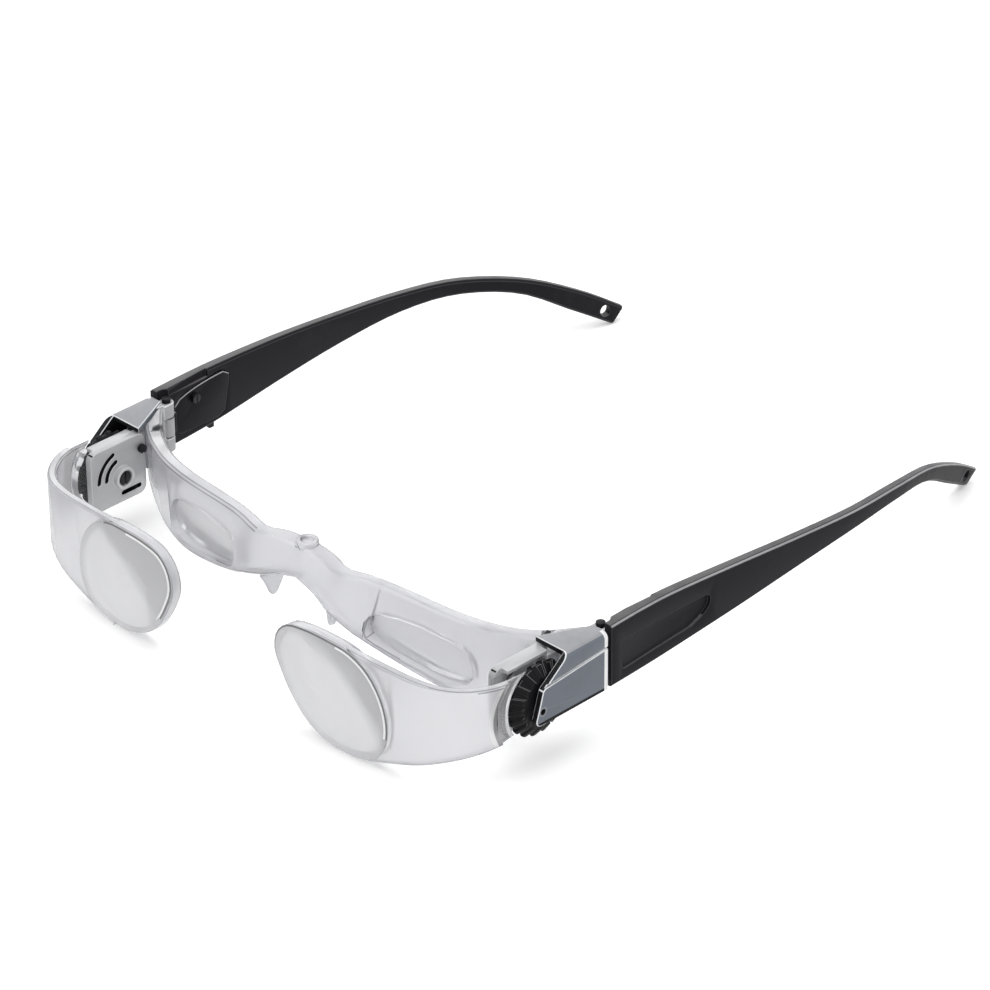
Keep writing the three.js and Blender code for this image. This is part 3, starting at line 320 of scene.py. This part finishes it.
def markedColour(tree, colour, marks):
    # Rings and discs painted over a colour, in their order
    for mark in marks:
        shape = useGroup(tree, roundMark, {
            "Centre across": mark["centre"][0], "Centre up": mark["centre"][1],
            "On front": mark.get("onFront", 0), "Radius": mark["radius"],
            "Half width": mark["halfWidth"], "Softness": mark.get("softness", crisp),
        })
        colour = colourNode(tree, shape["Mask"], colour, mark["colour"])
    return colour


def newMaterial(name):
    material = bpy.data.materials.new(name)
    material.use_nodes = True
    tree = material.node_tree
    return material, tree, tree.nodes["Principled BSDF"].inputs


def smudgedRoughness(tree, shader, look):
    # Smudges change the gloss, and their mask is there for the colour
    smudge = useGroup(tree, handling, {"Patch size": look["smudgeSize"]})["Mask"]
    feed(tree, shader["Roughness"], rangeNode(tree, smudge, look["roughness"], look["smudgeRoughness"]))
    return smudge


def clearMaterial(name, look):
    # Milky clear moulding: more tint where the eye looks along the wall, faint flow waves and smudges
    material, tree, shader = newMaterial(name)
    shader["Metallic"].default_value = 0
    shader["Transmission Weight"].default_value = look["clearness"]
    shader["IOR"].default_value = look["ior"]
    flow = useGroup(tree, mouldFlow, {"Length": look["flowLength"]})
    tint = colourNode(tree, flow["Tint"], look["tint"], look["deepTint"])
    wall = tree.nodes.new("ShaderNodeLayerWeight")
    wall.inputs["Blend"].default_value = look["wallBlend"]
    colour = colourNode(tree, wall.outputs["Facing"], tint, look["wallTint"])
    feed(tree, shader["Base Color"], markedColour(tree, colour, look.get("marks", [])))
    smudgedRoughness(tree, shader, look)
    feed(tree, shader["Normal"], bumpNode(tree, flow["Height"], look["waviness"], look["waveDepth"]))
    return material


def solidMaterial(name, look):
    # Opaque moulding or turned metal: grain, a slight change of colour and smudges
    material, tree, shader = newMaterial(name)
    shader["Metallic"].default_value = look["metallic"]
    shader["Specular IOR Level"].default_value = look["specular"]
    smudge = smudgedRoughness(tree, shader, look)
    colour = colourNode(tree, smudge, look["colour"], look["smudgeColour"])
    feed(tree, shader["Base Color"], markedColour(tree, colour, look.get("marks", [])))
    grain = useGroup(tree, mouldGrain, {"Grain size": look["grainSize"]})
    feed(tree, shader["Normal"], bumpNode(tree, grain["Height"], look["grainStrength"], look["grainSize"]))
    return material


def middleOf(node):
    return [(low + high) / 2 for low, high in zip(*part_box(node))]


# The wheels turn about this place, seen from the side
wheelCentre = tuple(middleOf("axle_screw_left")[1:])

# Clear finishes
clearLook = {
    "tint": (0.9, 0.9, 0.925), "deepTint": (0.87, 0.87, 0.9), "wallTint": (0.66, 0.66, 0.69),
    "wallBlend": 0.25, "clearness": 0.6, "ior": 1.45,
    "roughness": 0.16, "smudgeRoughness": 0.24, "smudgeSize": 0.025,
    "flowLength": 0.03, "waviness": 0.05, "waveDepth": 0.001,
}
# Painted shade: darker rounded edges, for the dark outlines that refraction gives clear plastic
clearShadeEdgeLook = dict(
    clearLook, tint=(0.5, 0.5, 0.52), deepTint=(0.44, 0.44, 0.46), wallTint=(0.36, 0.36, 0.38),
    roughness=0.12,
)
# Round the wheel's pocket, where the wall is thinned: a grey band of painted shade with white painted
# highlights at its edges
clearShadeBandLook = dict(clearLook, marks=[
    {"centre": wheelCentre, "radius": 0.0122, "halfWidth": 0.003, "colour": (0.98, 0.98, 0.98)},
    {"centre": wheelCentre, "radius": 0.0125, "halfWidth": 0.0018, "colour": (0.3, 0.3, 0.305)},
])
slidePlateLook = dict(
    clearLook, tint=(0.9, 0.9, 0.91), deepTint=(0.88, 0.88, 0.89), wallTint=(0.8, 0.8, 0.81), clearness=0.96,
    ior=1.05, roughness=0.02, smudgeRoughness=0.04, waviness=0,
)
carrierLook = dict(clearLook, clearness=0.35, tint=(0.74, 0.745, 0.755), deepTint=(0.66, 0.665, 0.68))
carrierEdgeLook = dict(
    carrierLook, tint=(0.93, 0.93, 0.935), deepTint=(0.9, 0.9, 0.91), wallTint=(0.85, 0.85, 0.86),
)
polishedLook = dict(
    clearLook, tint=(0.92, 0.92, 0.945), deepTint=(0.89, 0.89, 0.92), wallTint=(0.6, 0.6, 0.62),
    clearness=0.45, ior=1.49, roughness=0.05, smudgeRoughness=0.08, waviness=0,
)
# A soft crescent of painted shade in each lens, where its thick edge gathers less light
crescent = {"onFront": 1, "softness": 0.0022, "colour": (0.7, 0.7, 0.72)}
lensFrontLook = dict(polishedLook, marks=[
    dict(crescent, centre=(0.022, 0), radius=0.033, halfWidth=0.0068),
    dict(crescent, centre=(-0.0454, 0), radius=0.031, halfWidth=0.0073),
])
# Painted shade line and painted highlight line round each lens's face
lensShadeLineLook = dict(
    polishedLook, tint=(0.24, 0.24, 0.25), deepTint=(0.2, 0.2, 0.21), wallTint=(0.2, 0.2, 0.21),
    clearness=0.3,
)
lensGlintLook = dict(
    polishedLook, tint=(1, 1, 1), deepTint=(0.98, 0.98, 0.98), wallTint=(0.95, 0.95, 0.95), clearness=0.2,
)
ocularLook = dict(polishedLook, tint=(0.88, 0.88, 0.905), deepTint=(0.86, 0.86, 0.89), clearness=0.55)
padLook = dict(
    clearLook, tint=(0.8, 0.8, 0.82), deepTint=(0.76, 0.76, 0.79), roughness=0.35, smudgeRoughness=0.42,
)

# Grey finishes of the housings
greyLook = {
    "colour": (0.15, 0.168, 0.198), "smudgeColour": (0.14, 0.156, 0.184), "metallic": 0, "specular": 0.3,
    "roughness": 0.38, "smudgeRoughness": 0.47, "smudgeSize": 0.012,
    "grainSize": 0.00035, "grainStrength": 0.12,
}
# The small hole near the housing's lower front corner: black painted shade in its depth, with a paler painted
# highlight round its rim
markCentre = (wheelCentre[0] - 0.00258, wheelCentre[1] - 0.0006)
greySideLook = dict(greyLook, marks=[
    {"centre": markCentre, "radius": 0, "halfWidth": 0.0012, "colour": (0.25, 0.265, 0.295)},
    {"centre": markCentre, "radius": 0, "halfWidth": 0.00085, "colour": (0.006, 0.006, 0.006)},
])
# Painted light: a lighter copy of the grey for the roofs, lit from above
paintedLightRoofLook = dict(greyLook, colour=(0.31, 0.315, 0.335), smudgeColour=(0.29, 0.295, 0.31))
# Painted highlight: a pale grey on the housings' rounded edges
greyHighlightEdgeLook = dict(greyLook, colour=(0.8, 0.81, 0.83), smudgeColour=(0.74, 0.75, 0.77), roughness=0.3)
hingeLook = dict(greyLook, colour=(0.42, 0.42, 0.43), smudgeColour=(0.37, 0.37, 0.38))
# Painted highlight: a pale band along the housings' rear edges
rearHighlightLook = dict(greyLook, colour=(0.86, 0.86, 0.86), smudgeColour=(0.8, 0.8, 0.81), roughness=0.25)

# Black finishes of the temples and wheels
blackLook = {
    "colour": (0.009, 0.008, 0.011), "smudgeColour": (0.014, 0.013, 0.016), "metallic": 0, "specular": 0.12,
    "roughness": 0.4, "smudgeRoughness": 0.5, "smudgeSize": 0.02,
    "grainSize": 0.0003, "grainStrength": 0.1,
}
# Painted highlight: a lighter black on the rounded edges of the temples and covers
blackHighlightEdgeLook = dict(
    blackLook, colour=(0.045, 0.043, 0.048), smudgeColour=(0.035, 0.033, 0.038), roughness=0.3,
)
# Painted light: a lighter black for the temples' tops, lit from above; it also paints the shade in the
# frame's wells
blackLitTopAndShadeLook = dict(blackLook, colour=(0.12, 0.12, 0.122), smudgeColour=(0.095, 0.095, 0.097), roughness=0.34)
# Painted highlight: a pale line along the temples' and covers' upper edges
blackHighlightLineLook = dict(blackLook, colour=(0.36, 0.36, 0.37), smudgeColour=(0.3, 0.3, 0.31), roughness=0.28)
wheelLook = dict(blackLook, colour=(0.006, 0.006, 0.007), smudgeColour=(0.01, 0.01, 0.011), roughness=0.42)
# A faint painted highlight on the wheels' rounded edges
wheelHighlightEdgeLook = dict(
    wheelLook, colour=(0.014, 0.014, 0.015), smudgeColour=(0.02, 0.02, 0.021), roughness=0.35,
)
wheelGlintLook = dict(wheelLook, colour=(0.16, 0.16, 0.165), smudgeColour=(0.1, 0.1, 0.102), roughness=0.3)

# Finishes of the screws and pins
steelLook = {
    "colour": (0.42, 0.42, 0.44), "smudgeColour": (0.3, 0.3, 0.32), "metallic": 1, "specular": 0.5,
    "roughness": 0.28, "smudgeRoughness": 0.4, "smudgeSize": 0.003,
    "grainSize": 0.0002, "grainStrength": 0.15,
}
darkSteelLook = dict(steelLook, colour=(0.05, 0.05, 0.055), smudgeColour=(0.03, 0.03, 0.034), roughness=0.35)

finishes = {
    "clear": clearMaterial("clearPlastic", clearLook),
    "clearShadeEdge": clearMaterial("clearPlasticShadeEdge", clearShadeEdgeLook),
    "clearShadeBand": clearMaterial("clearPlasticShadeBand", clearShadeBandLook),
    "slidePlate": clearMaterial("slidePlatePlastic", slidePlateLook),
    "carrier": clearMaterial("carrierPlastic", carrierLook),
    "carrierEdge": clearMaterial("carrierPlasticEdge", carrierEdgeLook),
    "lens": clearMaterial("polishedLens", lensFrontLook),
    "lensShadeLine": clearMaterial("polishedLensShadeLine", lensShadeLineLook),
    "lensGlint": clearMaterial("polishedLensGlint", lensGlintLook),
    "ocular": clearMaterial("polishedEyepieceLens", ocularLook),
    "pad": clearMaterial("softPad", padLook),
    "grey": solidMaterial("greyHousing", greyLook),
    "greySide": solidMaterial("greyHousingSide", greySideLook),
    "paintedLightRoof": solidMaterial("greyHousingPaintedLightRoof", paintedLightRoofLook),
    "greyHighlightEdge": solidMaterial("greyHousingHighlightEdge", greyHighlightEdgeLook),
    "hinge": solidMaterial("greyHinge", hingeLook),
    "rearHighlight": solidMaterial("paleRearHighlight", rearHighlightLook),
    "black": solidMaterial("blackTemple", blackLook),
    "blackHighlightEdge": solidMaterial("blackTempleHighlightEdge", blackHighlightEdgeLook),
    "blackLitTopAndShade": solidMaterial("blackTempleLitTopAndShade", blackLitTopAndShadeLook),
    "blackHighlightLine": solidMaterial("blackTempleHighlightLine", blackHighlightLineLook),
    "wheel": solidMaterial("blackWheel", wheelLook),
    "wheelHighlightEdge": solidMaterial("blackWheelHighlightEdge", wheelHighlightEdgeLook),
    "wheelGlint": solidMaterial("blackWheelGlint", wheelGlintLook),
    "steel": solidMaterial("turnedSteel", steelLook),
    "darkSteel": solidMaterial("blackenedSteel", darkSteelLook),
}
print("stage 3: materials")

# Every piece is a dressed copy of its solid. In its dictionary, merge joins points this close, flat joins
# faces within so many degrees, rounding is the width of its rounded edges, and edge is their finish.
wheelAxis = Vector((0, *wheelCentre))
edgeRounding = {"segments": 2, "sharperThan": 35}  # for edges sharper than so many degrees
smoothBelow = 40  # degrees
tiny = 1e-6  # metres
squarely = 0.8  # a face looks squarely along an axis where this much of its normal lies in it


def onlySelect(piece):
    bpy.ops.object.select_all(action="DESELECT")
    piece.select_set(True)
    bpy.context.view_layer.objects.active = piece


def startEdit(piece, mode, select):
    onlySelect(piece)
    bpy.ops.object.mode_set(mode="EDIT")
    bpy.ops.mesh.select_mode(type=mode)
    bpy.ops.mesh.select_all(action=select)


def endEdit():
    bpy.ops.object.mode_set(mode="OBJECT")


def editFaces(piece, chosen):
    # Edit mode with the chosen faces selected
    startEdit(piece, "FACE", "DESELECT")
    endEdit()
    for face in piece.data.polygons:
        face.select = chosen(face.center, face.normal)
    bpy.ops.object.mode_set(mode="EDIT")


def bisectAt(piece, place, normal):
    # New edges where a plane crosses the piece
    startEdit(piece, "VERT", "SELECT")
    bpy.ops.mesh.bisect(plane_co=place, plane_no=normal)
    endEdit()


def applyModifier(piece, kind, values):
    onlySelect(piece)
    modifier = piece.modifiers.new(kind.lower(), kind)
    for label, value in values.items():
        setattr(modifier, label, value)
    bpy.ops.object.modifier_apply(modifier=modifier.name)


def mergedCopy(node, look):
    # Copy of a solid, its loose triangles joined and its flat areas made whole
    piece = bpy.data.objects.new("dressed_" + node, frame["nodes"][node].data.copy())
    bpy.context.scene.collection.objects.link(piece)
    startEdit(piece, "VERT", "SELECT")
    bpy.ops.mesh.remove_doubles(threshold=look.get("merge", tiny))
    bpy.ops.mesh.dissolve_degenerate(threshold=tiny)
    bpy.ops.mesh.dissolve_limited(angle_limit=math.radians(look["flat"]))
    endEdit()
    piece.data.materials.clear()
    piece.data.materials.append(finishes[look["finish"]])
    if "edge" in look:
        piece.data.materials.append(finishes[look["edge"]])
    return piece


def finishPiece(piece, node, look):
    if "rounding" in look:
        applyModifier(piece, "BEVEL", {
            "width": look["rounding"], "segments": edgeRounding["segments"], "limit_method": "ANGLE",
            "angle_limit": math.radians(edgeRounding["sharperThan"]), "material": 1 if "edge" in look else -1,
            "use_clamp_overlap": look.get("clamp", False), "miter_outer": "MITER_ARC",
        })
    onlySelect(piece)
    bpy.ops.object.shade_smooth_by_angle(angle=math.radians(look.get("smooth", smoothBelow)))
    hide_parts(node)
    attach(piece, bodyOfNode[node])


def paint(piece, finish, chosen, on="faces"):
    # Gives the chosen faces, rounded edges or both a finish. The edges are those that carry the second one.
    piece.data.materials.append(finishes[finish])
    slot = len(piece.data.materials) - 1
    for face in piece.data.polygons:
        kind = "edges" if face.material_index == 1 else "faces"
        if on in (kind, "both") and chosen(face.center, face.normal):
            face.material_index = slot


def insideFromSide(place, box, margin):
    # Whether a place lies this far inside a box, as seen from the side
    low, high = box
    return all(low[i] + margin < place[i] < high[i] - margin for i in (1, 2))


frameLook = {
    "finish": "clear", "edge": "clearShadeEdge", "slot": "clear_frame",
    "flat": 0.05, "merge": 6e-5, "rounding": 0.00018,
    # A small well in each end, its faces painted dark as painted shade
    "wellAcross": 0.0639, "wellBack": -0.0553, "wellWidth": 0.00095, "wellLength": 0.0015,
    "wellFloor": 0.0252, "wellMouth": 0.0269,
    # No painted shade on the edges round the outer half of each window, nor along the top of the bridge and
    # the left half
    "windowReach": 0.0018, "windowFrom": 0.03, "topFrom": -0.0135, "topAbove": 0.019,
}


def dressFrame(piece, node, side, outward):
    look = frameLook
    finishPiece(piece, node, look)
    # Painted shade in each well
    paint(piece, "blackLitTopAndShade", lambda place, normal: abs(place.y - look["wellBack"]) < look["wellLength"]
          and abs(abs(place.x) - look["wellAcross"]) < look["wellWidth"]
          and look["wellFloor"] < place.z < look["wellMouth"])
    window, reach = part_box("ocular_lens_left"), look["windowReach"]
    paint(piece, "clear", lambda place, normal: look["windowFrom"] < abs(place.x) < window[1][0] + reach
          and insideFromSide(place, window, -reach), on="edges")
    paint(piece, "clear", lambda place, normal: place.x > look["topFrom"] and place.z > look["topAbove"]
          and normal.y < 0, on="edges")


armLook = {
    "finish": "clear", "edge": "clearShadeEdge", "slot": "clear_frame",
    "flat": 0.05, "merge": 6e-5, "rounding": 0.00018,
    "bandFacing": 0.3, "plateReach": 0.0137, "plateOuter": 0.0693,
    "rimFacing": -0.5, "rimAhead": -0.08,  # the rim's front edges stay clear, without painted shade
}


def dressArm(piece, node, side, outward):
    look = armLook
    finishPiece(piece, node, look)
    # Painted shade and painted highlights on the outer faces round the wheel
    paint(piece, "clearShadeBand", lambda place, normal: normal.x * outward > look["bandFacing"])
    paint(piece, "slidePlate", lambda place, normal: abs(place.x) < look["plateOuter"]
          and (place - wheelAxis).yz.length < look["plateReach"], on="both")
    paint(piece, "clear", lambda place, normal: normal.y < look["rimFacing"] and place.y < look["rimAhead"],
          on="edges")


objectiveLook = {
    "finish": "lens", "slot": "lens", "flat": 0.05, "smooth": 50,
    # The lens spreads over the front of its rim, with a dark painted shade line and a white painted highlight
    # line round its face
    "frontFacing": -0.3, "lift": 0.00025, "acrossGrow": 1.1, "upGrow": 1.135, "rimDepth": 0.0003,
    "borders": {"lensShadeLine": 0.00045, "lensGlint": 0.0005}, "sharperThan": 35, "crease": 0.9, "levels": 1,
    # Neither line shows below this share of the height, nor right of these places
    "plainBelow": 0.3, "plainTo": {"left": 0, "right": -0.0405},
    "glintFrom": {"left": 0.036, "right": -0.032},
}


def spreadLens(piece, node):
    look = objectiveLook
    editFaces(piece, lambda place, normal: normal.y < look["frontFacing"])
    bpy.ops.mesh.extrude_region()
    bpy.ops.transform.translate(value=(0, -look["lift"], 0))
    bpy.ops.mesh.extrude_region()
    bpy.ops.transform.resize(value=(look["acrossGrow"], 1, look["upGrow"]), center_override=middleOf(node))
    bpy.ops.mesh.extrude_region()
    bpy.ops.transform.translate(value=(0, -look["rimDepth"], 0))
    for finish, width in look["borders"].items():
        piece.data.materials.append(finishes[finish])
        piece.active_material_index = len(piece.data.materials) - 1
        bpy.ops.object.material_slot_assign()
        bpy.ops.mesh.inset(thickness=width)
    piece.active_material_index = 0
    bpy.ops.object.material_slot_assign()
    bpy.ops.mesh.select_all(action="DESELECT")
    bpy.ops.mesh.edges_select_sharp(sharpness=math.radians(look["sharperThan"]))
    bpy.ops.transform.edge_crease(value=look["crease"])
    endEdit()
    applyModifier(piece, "SUBSURF", {"levels": look["levels"], "render_levels": look["levels"]})


def dressLens(piece, node, side, outward):
    look = objectiveLook
    spreadLens(piece, node)
    finishPiece(piece, node, look)
    low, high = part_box(node)
    lowest = low[2] + look["plainBelow"] * (high[2] - low[2])
    paint(piece, "lens", lambda place, normal: place.z < lowest or place.x < look["plainTo"][side], on="both")
    glint = piece.data.materials.find(finishes["lensGlint"].name)
    for face in piece.data.polygons:
        if face.material_index == glint and face.center.x < look["glintFrom"][side]:
            face.material_index = 0


carrierPlateLook = {
    "finish": "carrier", "edge": "carrierEdge", "slot": "clear_frame", "flat": 0.5, "merge": 3e-5,
    "rounding": 0.00014, "bossDepth": 0.0004,
    # The slots' walls are painted black as painted shade: this far from the plate's border and from the axle
    "wallFacing": 0.3, "plateOuter": 0.0668, "border": 0.0005, "bossReach": 0.0033,
}


def dressCarrier(piece, node, side, outward):
    look, plate = carrierPlateLook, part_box(node)
    finishPiece(piece, node, look)
    bossEnd = min(abs(end[0]) for end in plate) + look["bossDepth"]
    paint(piece, "carrierEdge", lambda place, normal: abs(place.x) < bossEnd)
    # Painted shade: the slots' walls black
    paint(piece, "wheel", lambda place, normal: abs(normal.x) < look["wallFacing"]
          and abs(place.x) < look["plateOuter"] and insideFromSide(place, plate, look["border"])
          and (place - wheelAxis).yz.length > look["bossReach"])


focusWheelLook = {
    "finish": "wheel", "edge": "wheelHighlightEdge", "slot": "wheel", "flat": 0.5, "rounding": 0.00012, "smooth": 30,
    "glintOutward": 0.35, "glintUp": 0.5,  # the teeth's edges that catch the light
}


def dressWheel(piece, node, side, outward):
    look = focusWheelLook
    finishPiece(piece, node, look)
    paint(piece, "wheelGlint", lambda place, normal: normal.x * outward > look["glintOutward"]
          and normal.z > look["glintUp"], on="edges")


housingLook = {
    "finish": "grey", "edge": "greyHighlightEdge", "slot": "grey_housing",
    "flat": 0.5, "merge": 6e-5, "rounding": 0.00018,
    # A painted highlight along the rear edge before the gap at the temple, grey lugs round the hinge, and a
    # black strip of painted shade below
    "rearGap": 0.0009, "rearHighlight": 0.00045, "rearHighlightOuter": 0.0725, "lugReach": 0.0026, "shadeStrip": 0.0009,
    # Painted shade, black in the groove below the step and in the hole near the front corner
    "grooveFrom": 0.0744, "grooveTo": 0.07485, "grooveBelow": 0.0025,
    "markOuter": 0.074, "markReach": 0.00078,
    # Front walls, inner walls and inner front edges ahead of this place are painted black, as painted shade
    "darkAhead": -0.0575, "frontWall": -0.3, "innerWall": -0.5, "frontEdge": -0.1, "innerEdge": 0.25,
}


def dressHousing(piece, node, side, outward):
    look = housingLook
    low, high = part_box(node)
    hinge = Vector(middleOf("hinge_pin_" + side))
    mark = Vector((0, *markCentre))
    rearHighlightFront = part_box("temple_" + side)[0][1] - look["rearGap"] - look["rearHighlight"]
    shadeStripTop = low[2] + look["shadeStrip"]
    grooveTop = high[2] - look["grooveBelow"]
    bisectAt(piece, (0, rearHighlightFront, 0), (0, 1, 0))
    bisectAt(piece, (0, 0, shadeStripTop), (0, 0, 1))
    finishPiece(piece, node, look)
    paint(piece, "greySide", lambda place, normal: normal.x * outward > squarely)
    # Painted light on the roof
    paint(piece, "paintedLightRoof", lambda place, normal: normal.z > squarely)
    # Painted shade: a black strip along the bottom
    paint(piece, "wheel", lambda place, normal: place.z < shadeStripTop and place.y > wheelCentre[0])
    # Painted highlight along the rear edge
    paint(piece, "rearHighlight", lambda place, normal: place.y > rearHighlightFront and abs(place.x) > look["rearHighlightOuter"])
    paint(piece, "hinge", lambda place, normal: (place - hinge).xy.length < look["lugReach"])
    # Painted shade: the groove black
    paint(piece, "wheel", lambda place, normal: normal.x * outward > squarely and place.z < grooveTop
          and look["grooveFrom"] < abs(place.x) < look["grooveTo"])
    # Painted shade: the front and inner walls and edges black
    paint(piece, "wheel", lambda place, normal: place.y < look["darkAhead"] and normal.z < squarely
          and normal.x * outward < squarely
          and (normal.y < look["frontWall"] or normal.x * outward < look["innerWall"]))
    paint(piece, "wheel", lambda place, normal: place.y < look["darkAhead"] and normal.y < look["frontEdge"]
          and max(normal.x * outward, normal.z) < look["innerEdge"], on="edges")
    # Painted shade: the hole's faces black
    paint(piece, "wheel", lambda place, normal: abs(place.x) > look["markOuter"]
          and (place - mark).yz.length < look["markReach"], on="both")


templeLook = {
    "finish": "black", "edge": "blackHighlightEdge", "slot": "black_temple", "flat": 0.05, "merge": 6e-5,
    "rounding": 0.00012, "knuckleReach": 0.0019,
    # Painted light: greyer on top where light falls from above, with a painted highlight line along the
    # slanted outer border of the top
    "topFacing": 0.85, "lineFacing": 0.45, "lineOutward": 0.3,
}


def dressTemple(piece, node, side, outward):
    look = templeLook
    hinge = Vector(middleOf("hinge_pin_" + side))
    finishPiece(piece, node, look)
    # Painted light on the top
    paint(piece, "blackLitTopAndShade", lambda place, normal: normal.z > look["topFacing"])
    # Painted highlight line on the slanted outer border
    paint(piece, "blackHighlightLine", lambda place, normal: look["lineFacing"] < normal.z < look["topFacing"]
          and normal.x * outward > look["lineOutward"])
    paint(piece, "hinge", lambda place, normal: (place - hinge).xy.length < look["knuckleReach"])


coverLook = {
    "finish": "black", "edge": "blackHighlightEdge", "slot": "black_temple", "flat": 0.5, "rounding": 0.0002,
    "lineFacing": 0.25,  # a painted highlight line along the upper edge
}


def dressCover(piece, node, side, outward):
    finishPiece(piece, node, coverLook)
    paint(piece, "blackHighlightLine", lambda place, normal: normal.z > coverLook["lineFacing"], on="edges")


dressers = {
    "eyepiece_frame": (frameLook, dressFrame),
    "objective_arm": (armLook, dressArm),
    "objective_lens": (objectiveLook, dressLens),
    "carrier_plate": (carrierPlateLook, dressCarrier),
    "focus_wheel": (focusWheelLook, dressWheel),
    "side_housing": (housingLook, dressHousing),
    "temple": (templeLook, dressTemple),
    "temple_cover": (coverLook, dressCover),
}
# Pieces that keep one finish all over
plainLooks = {
    "ocular_lens": {"finish": "ocular", "slot": "lens", "flat": 0.05, "smooth": 60},
    "nose_pad": {"finish": "pad", "slot": "pad", "flat": 0.5, "rounding": 0.0003, "clamp": True},
    "carrier_screw": {"finish": "darkSteel", "slot": "screw", "flat": 0.5},
    "crank_pin": {"finish": "steel", "slot": "screw", "flat": 0.5},
    "axle_screw": {"finish": "darkSteel", "slot": "screw", "flat": 0.5},
    "housing_screw": {"finish": "steel", "slot": "screw", "flat": 0.5},
    "hinge_pin": {"finish": "black", "slot": "black_temple", "flat": 0.5, "rounding": 0.0002, "clamp": True},
    "cover_screw": {"finish": "darkSteel", "slot": "screw", "flat": 0.5},
}
for node in sorted(frame["nodes"]):
    side = "left" if node.endswith("_left") else "right"
    kind = node.removesuffix("_" + side)
    if kind in dressers:
        look, dress = dressers[kind]
        dress(mergedCopy(node, look), node, side, 1 if side == "left" else -1)
    else:
        finishPiece(mergedCopy(node, plainLooks[kind]), node, plainLooks[kind])
print("stage 4: dressed pieces")
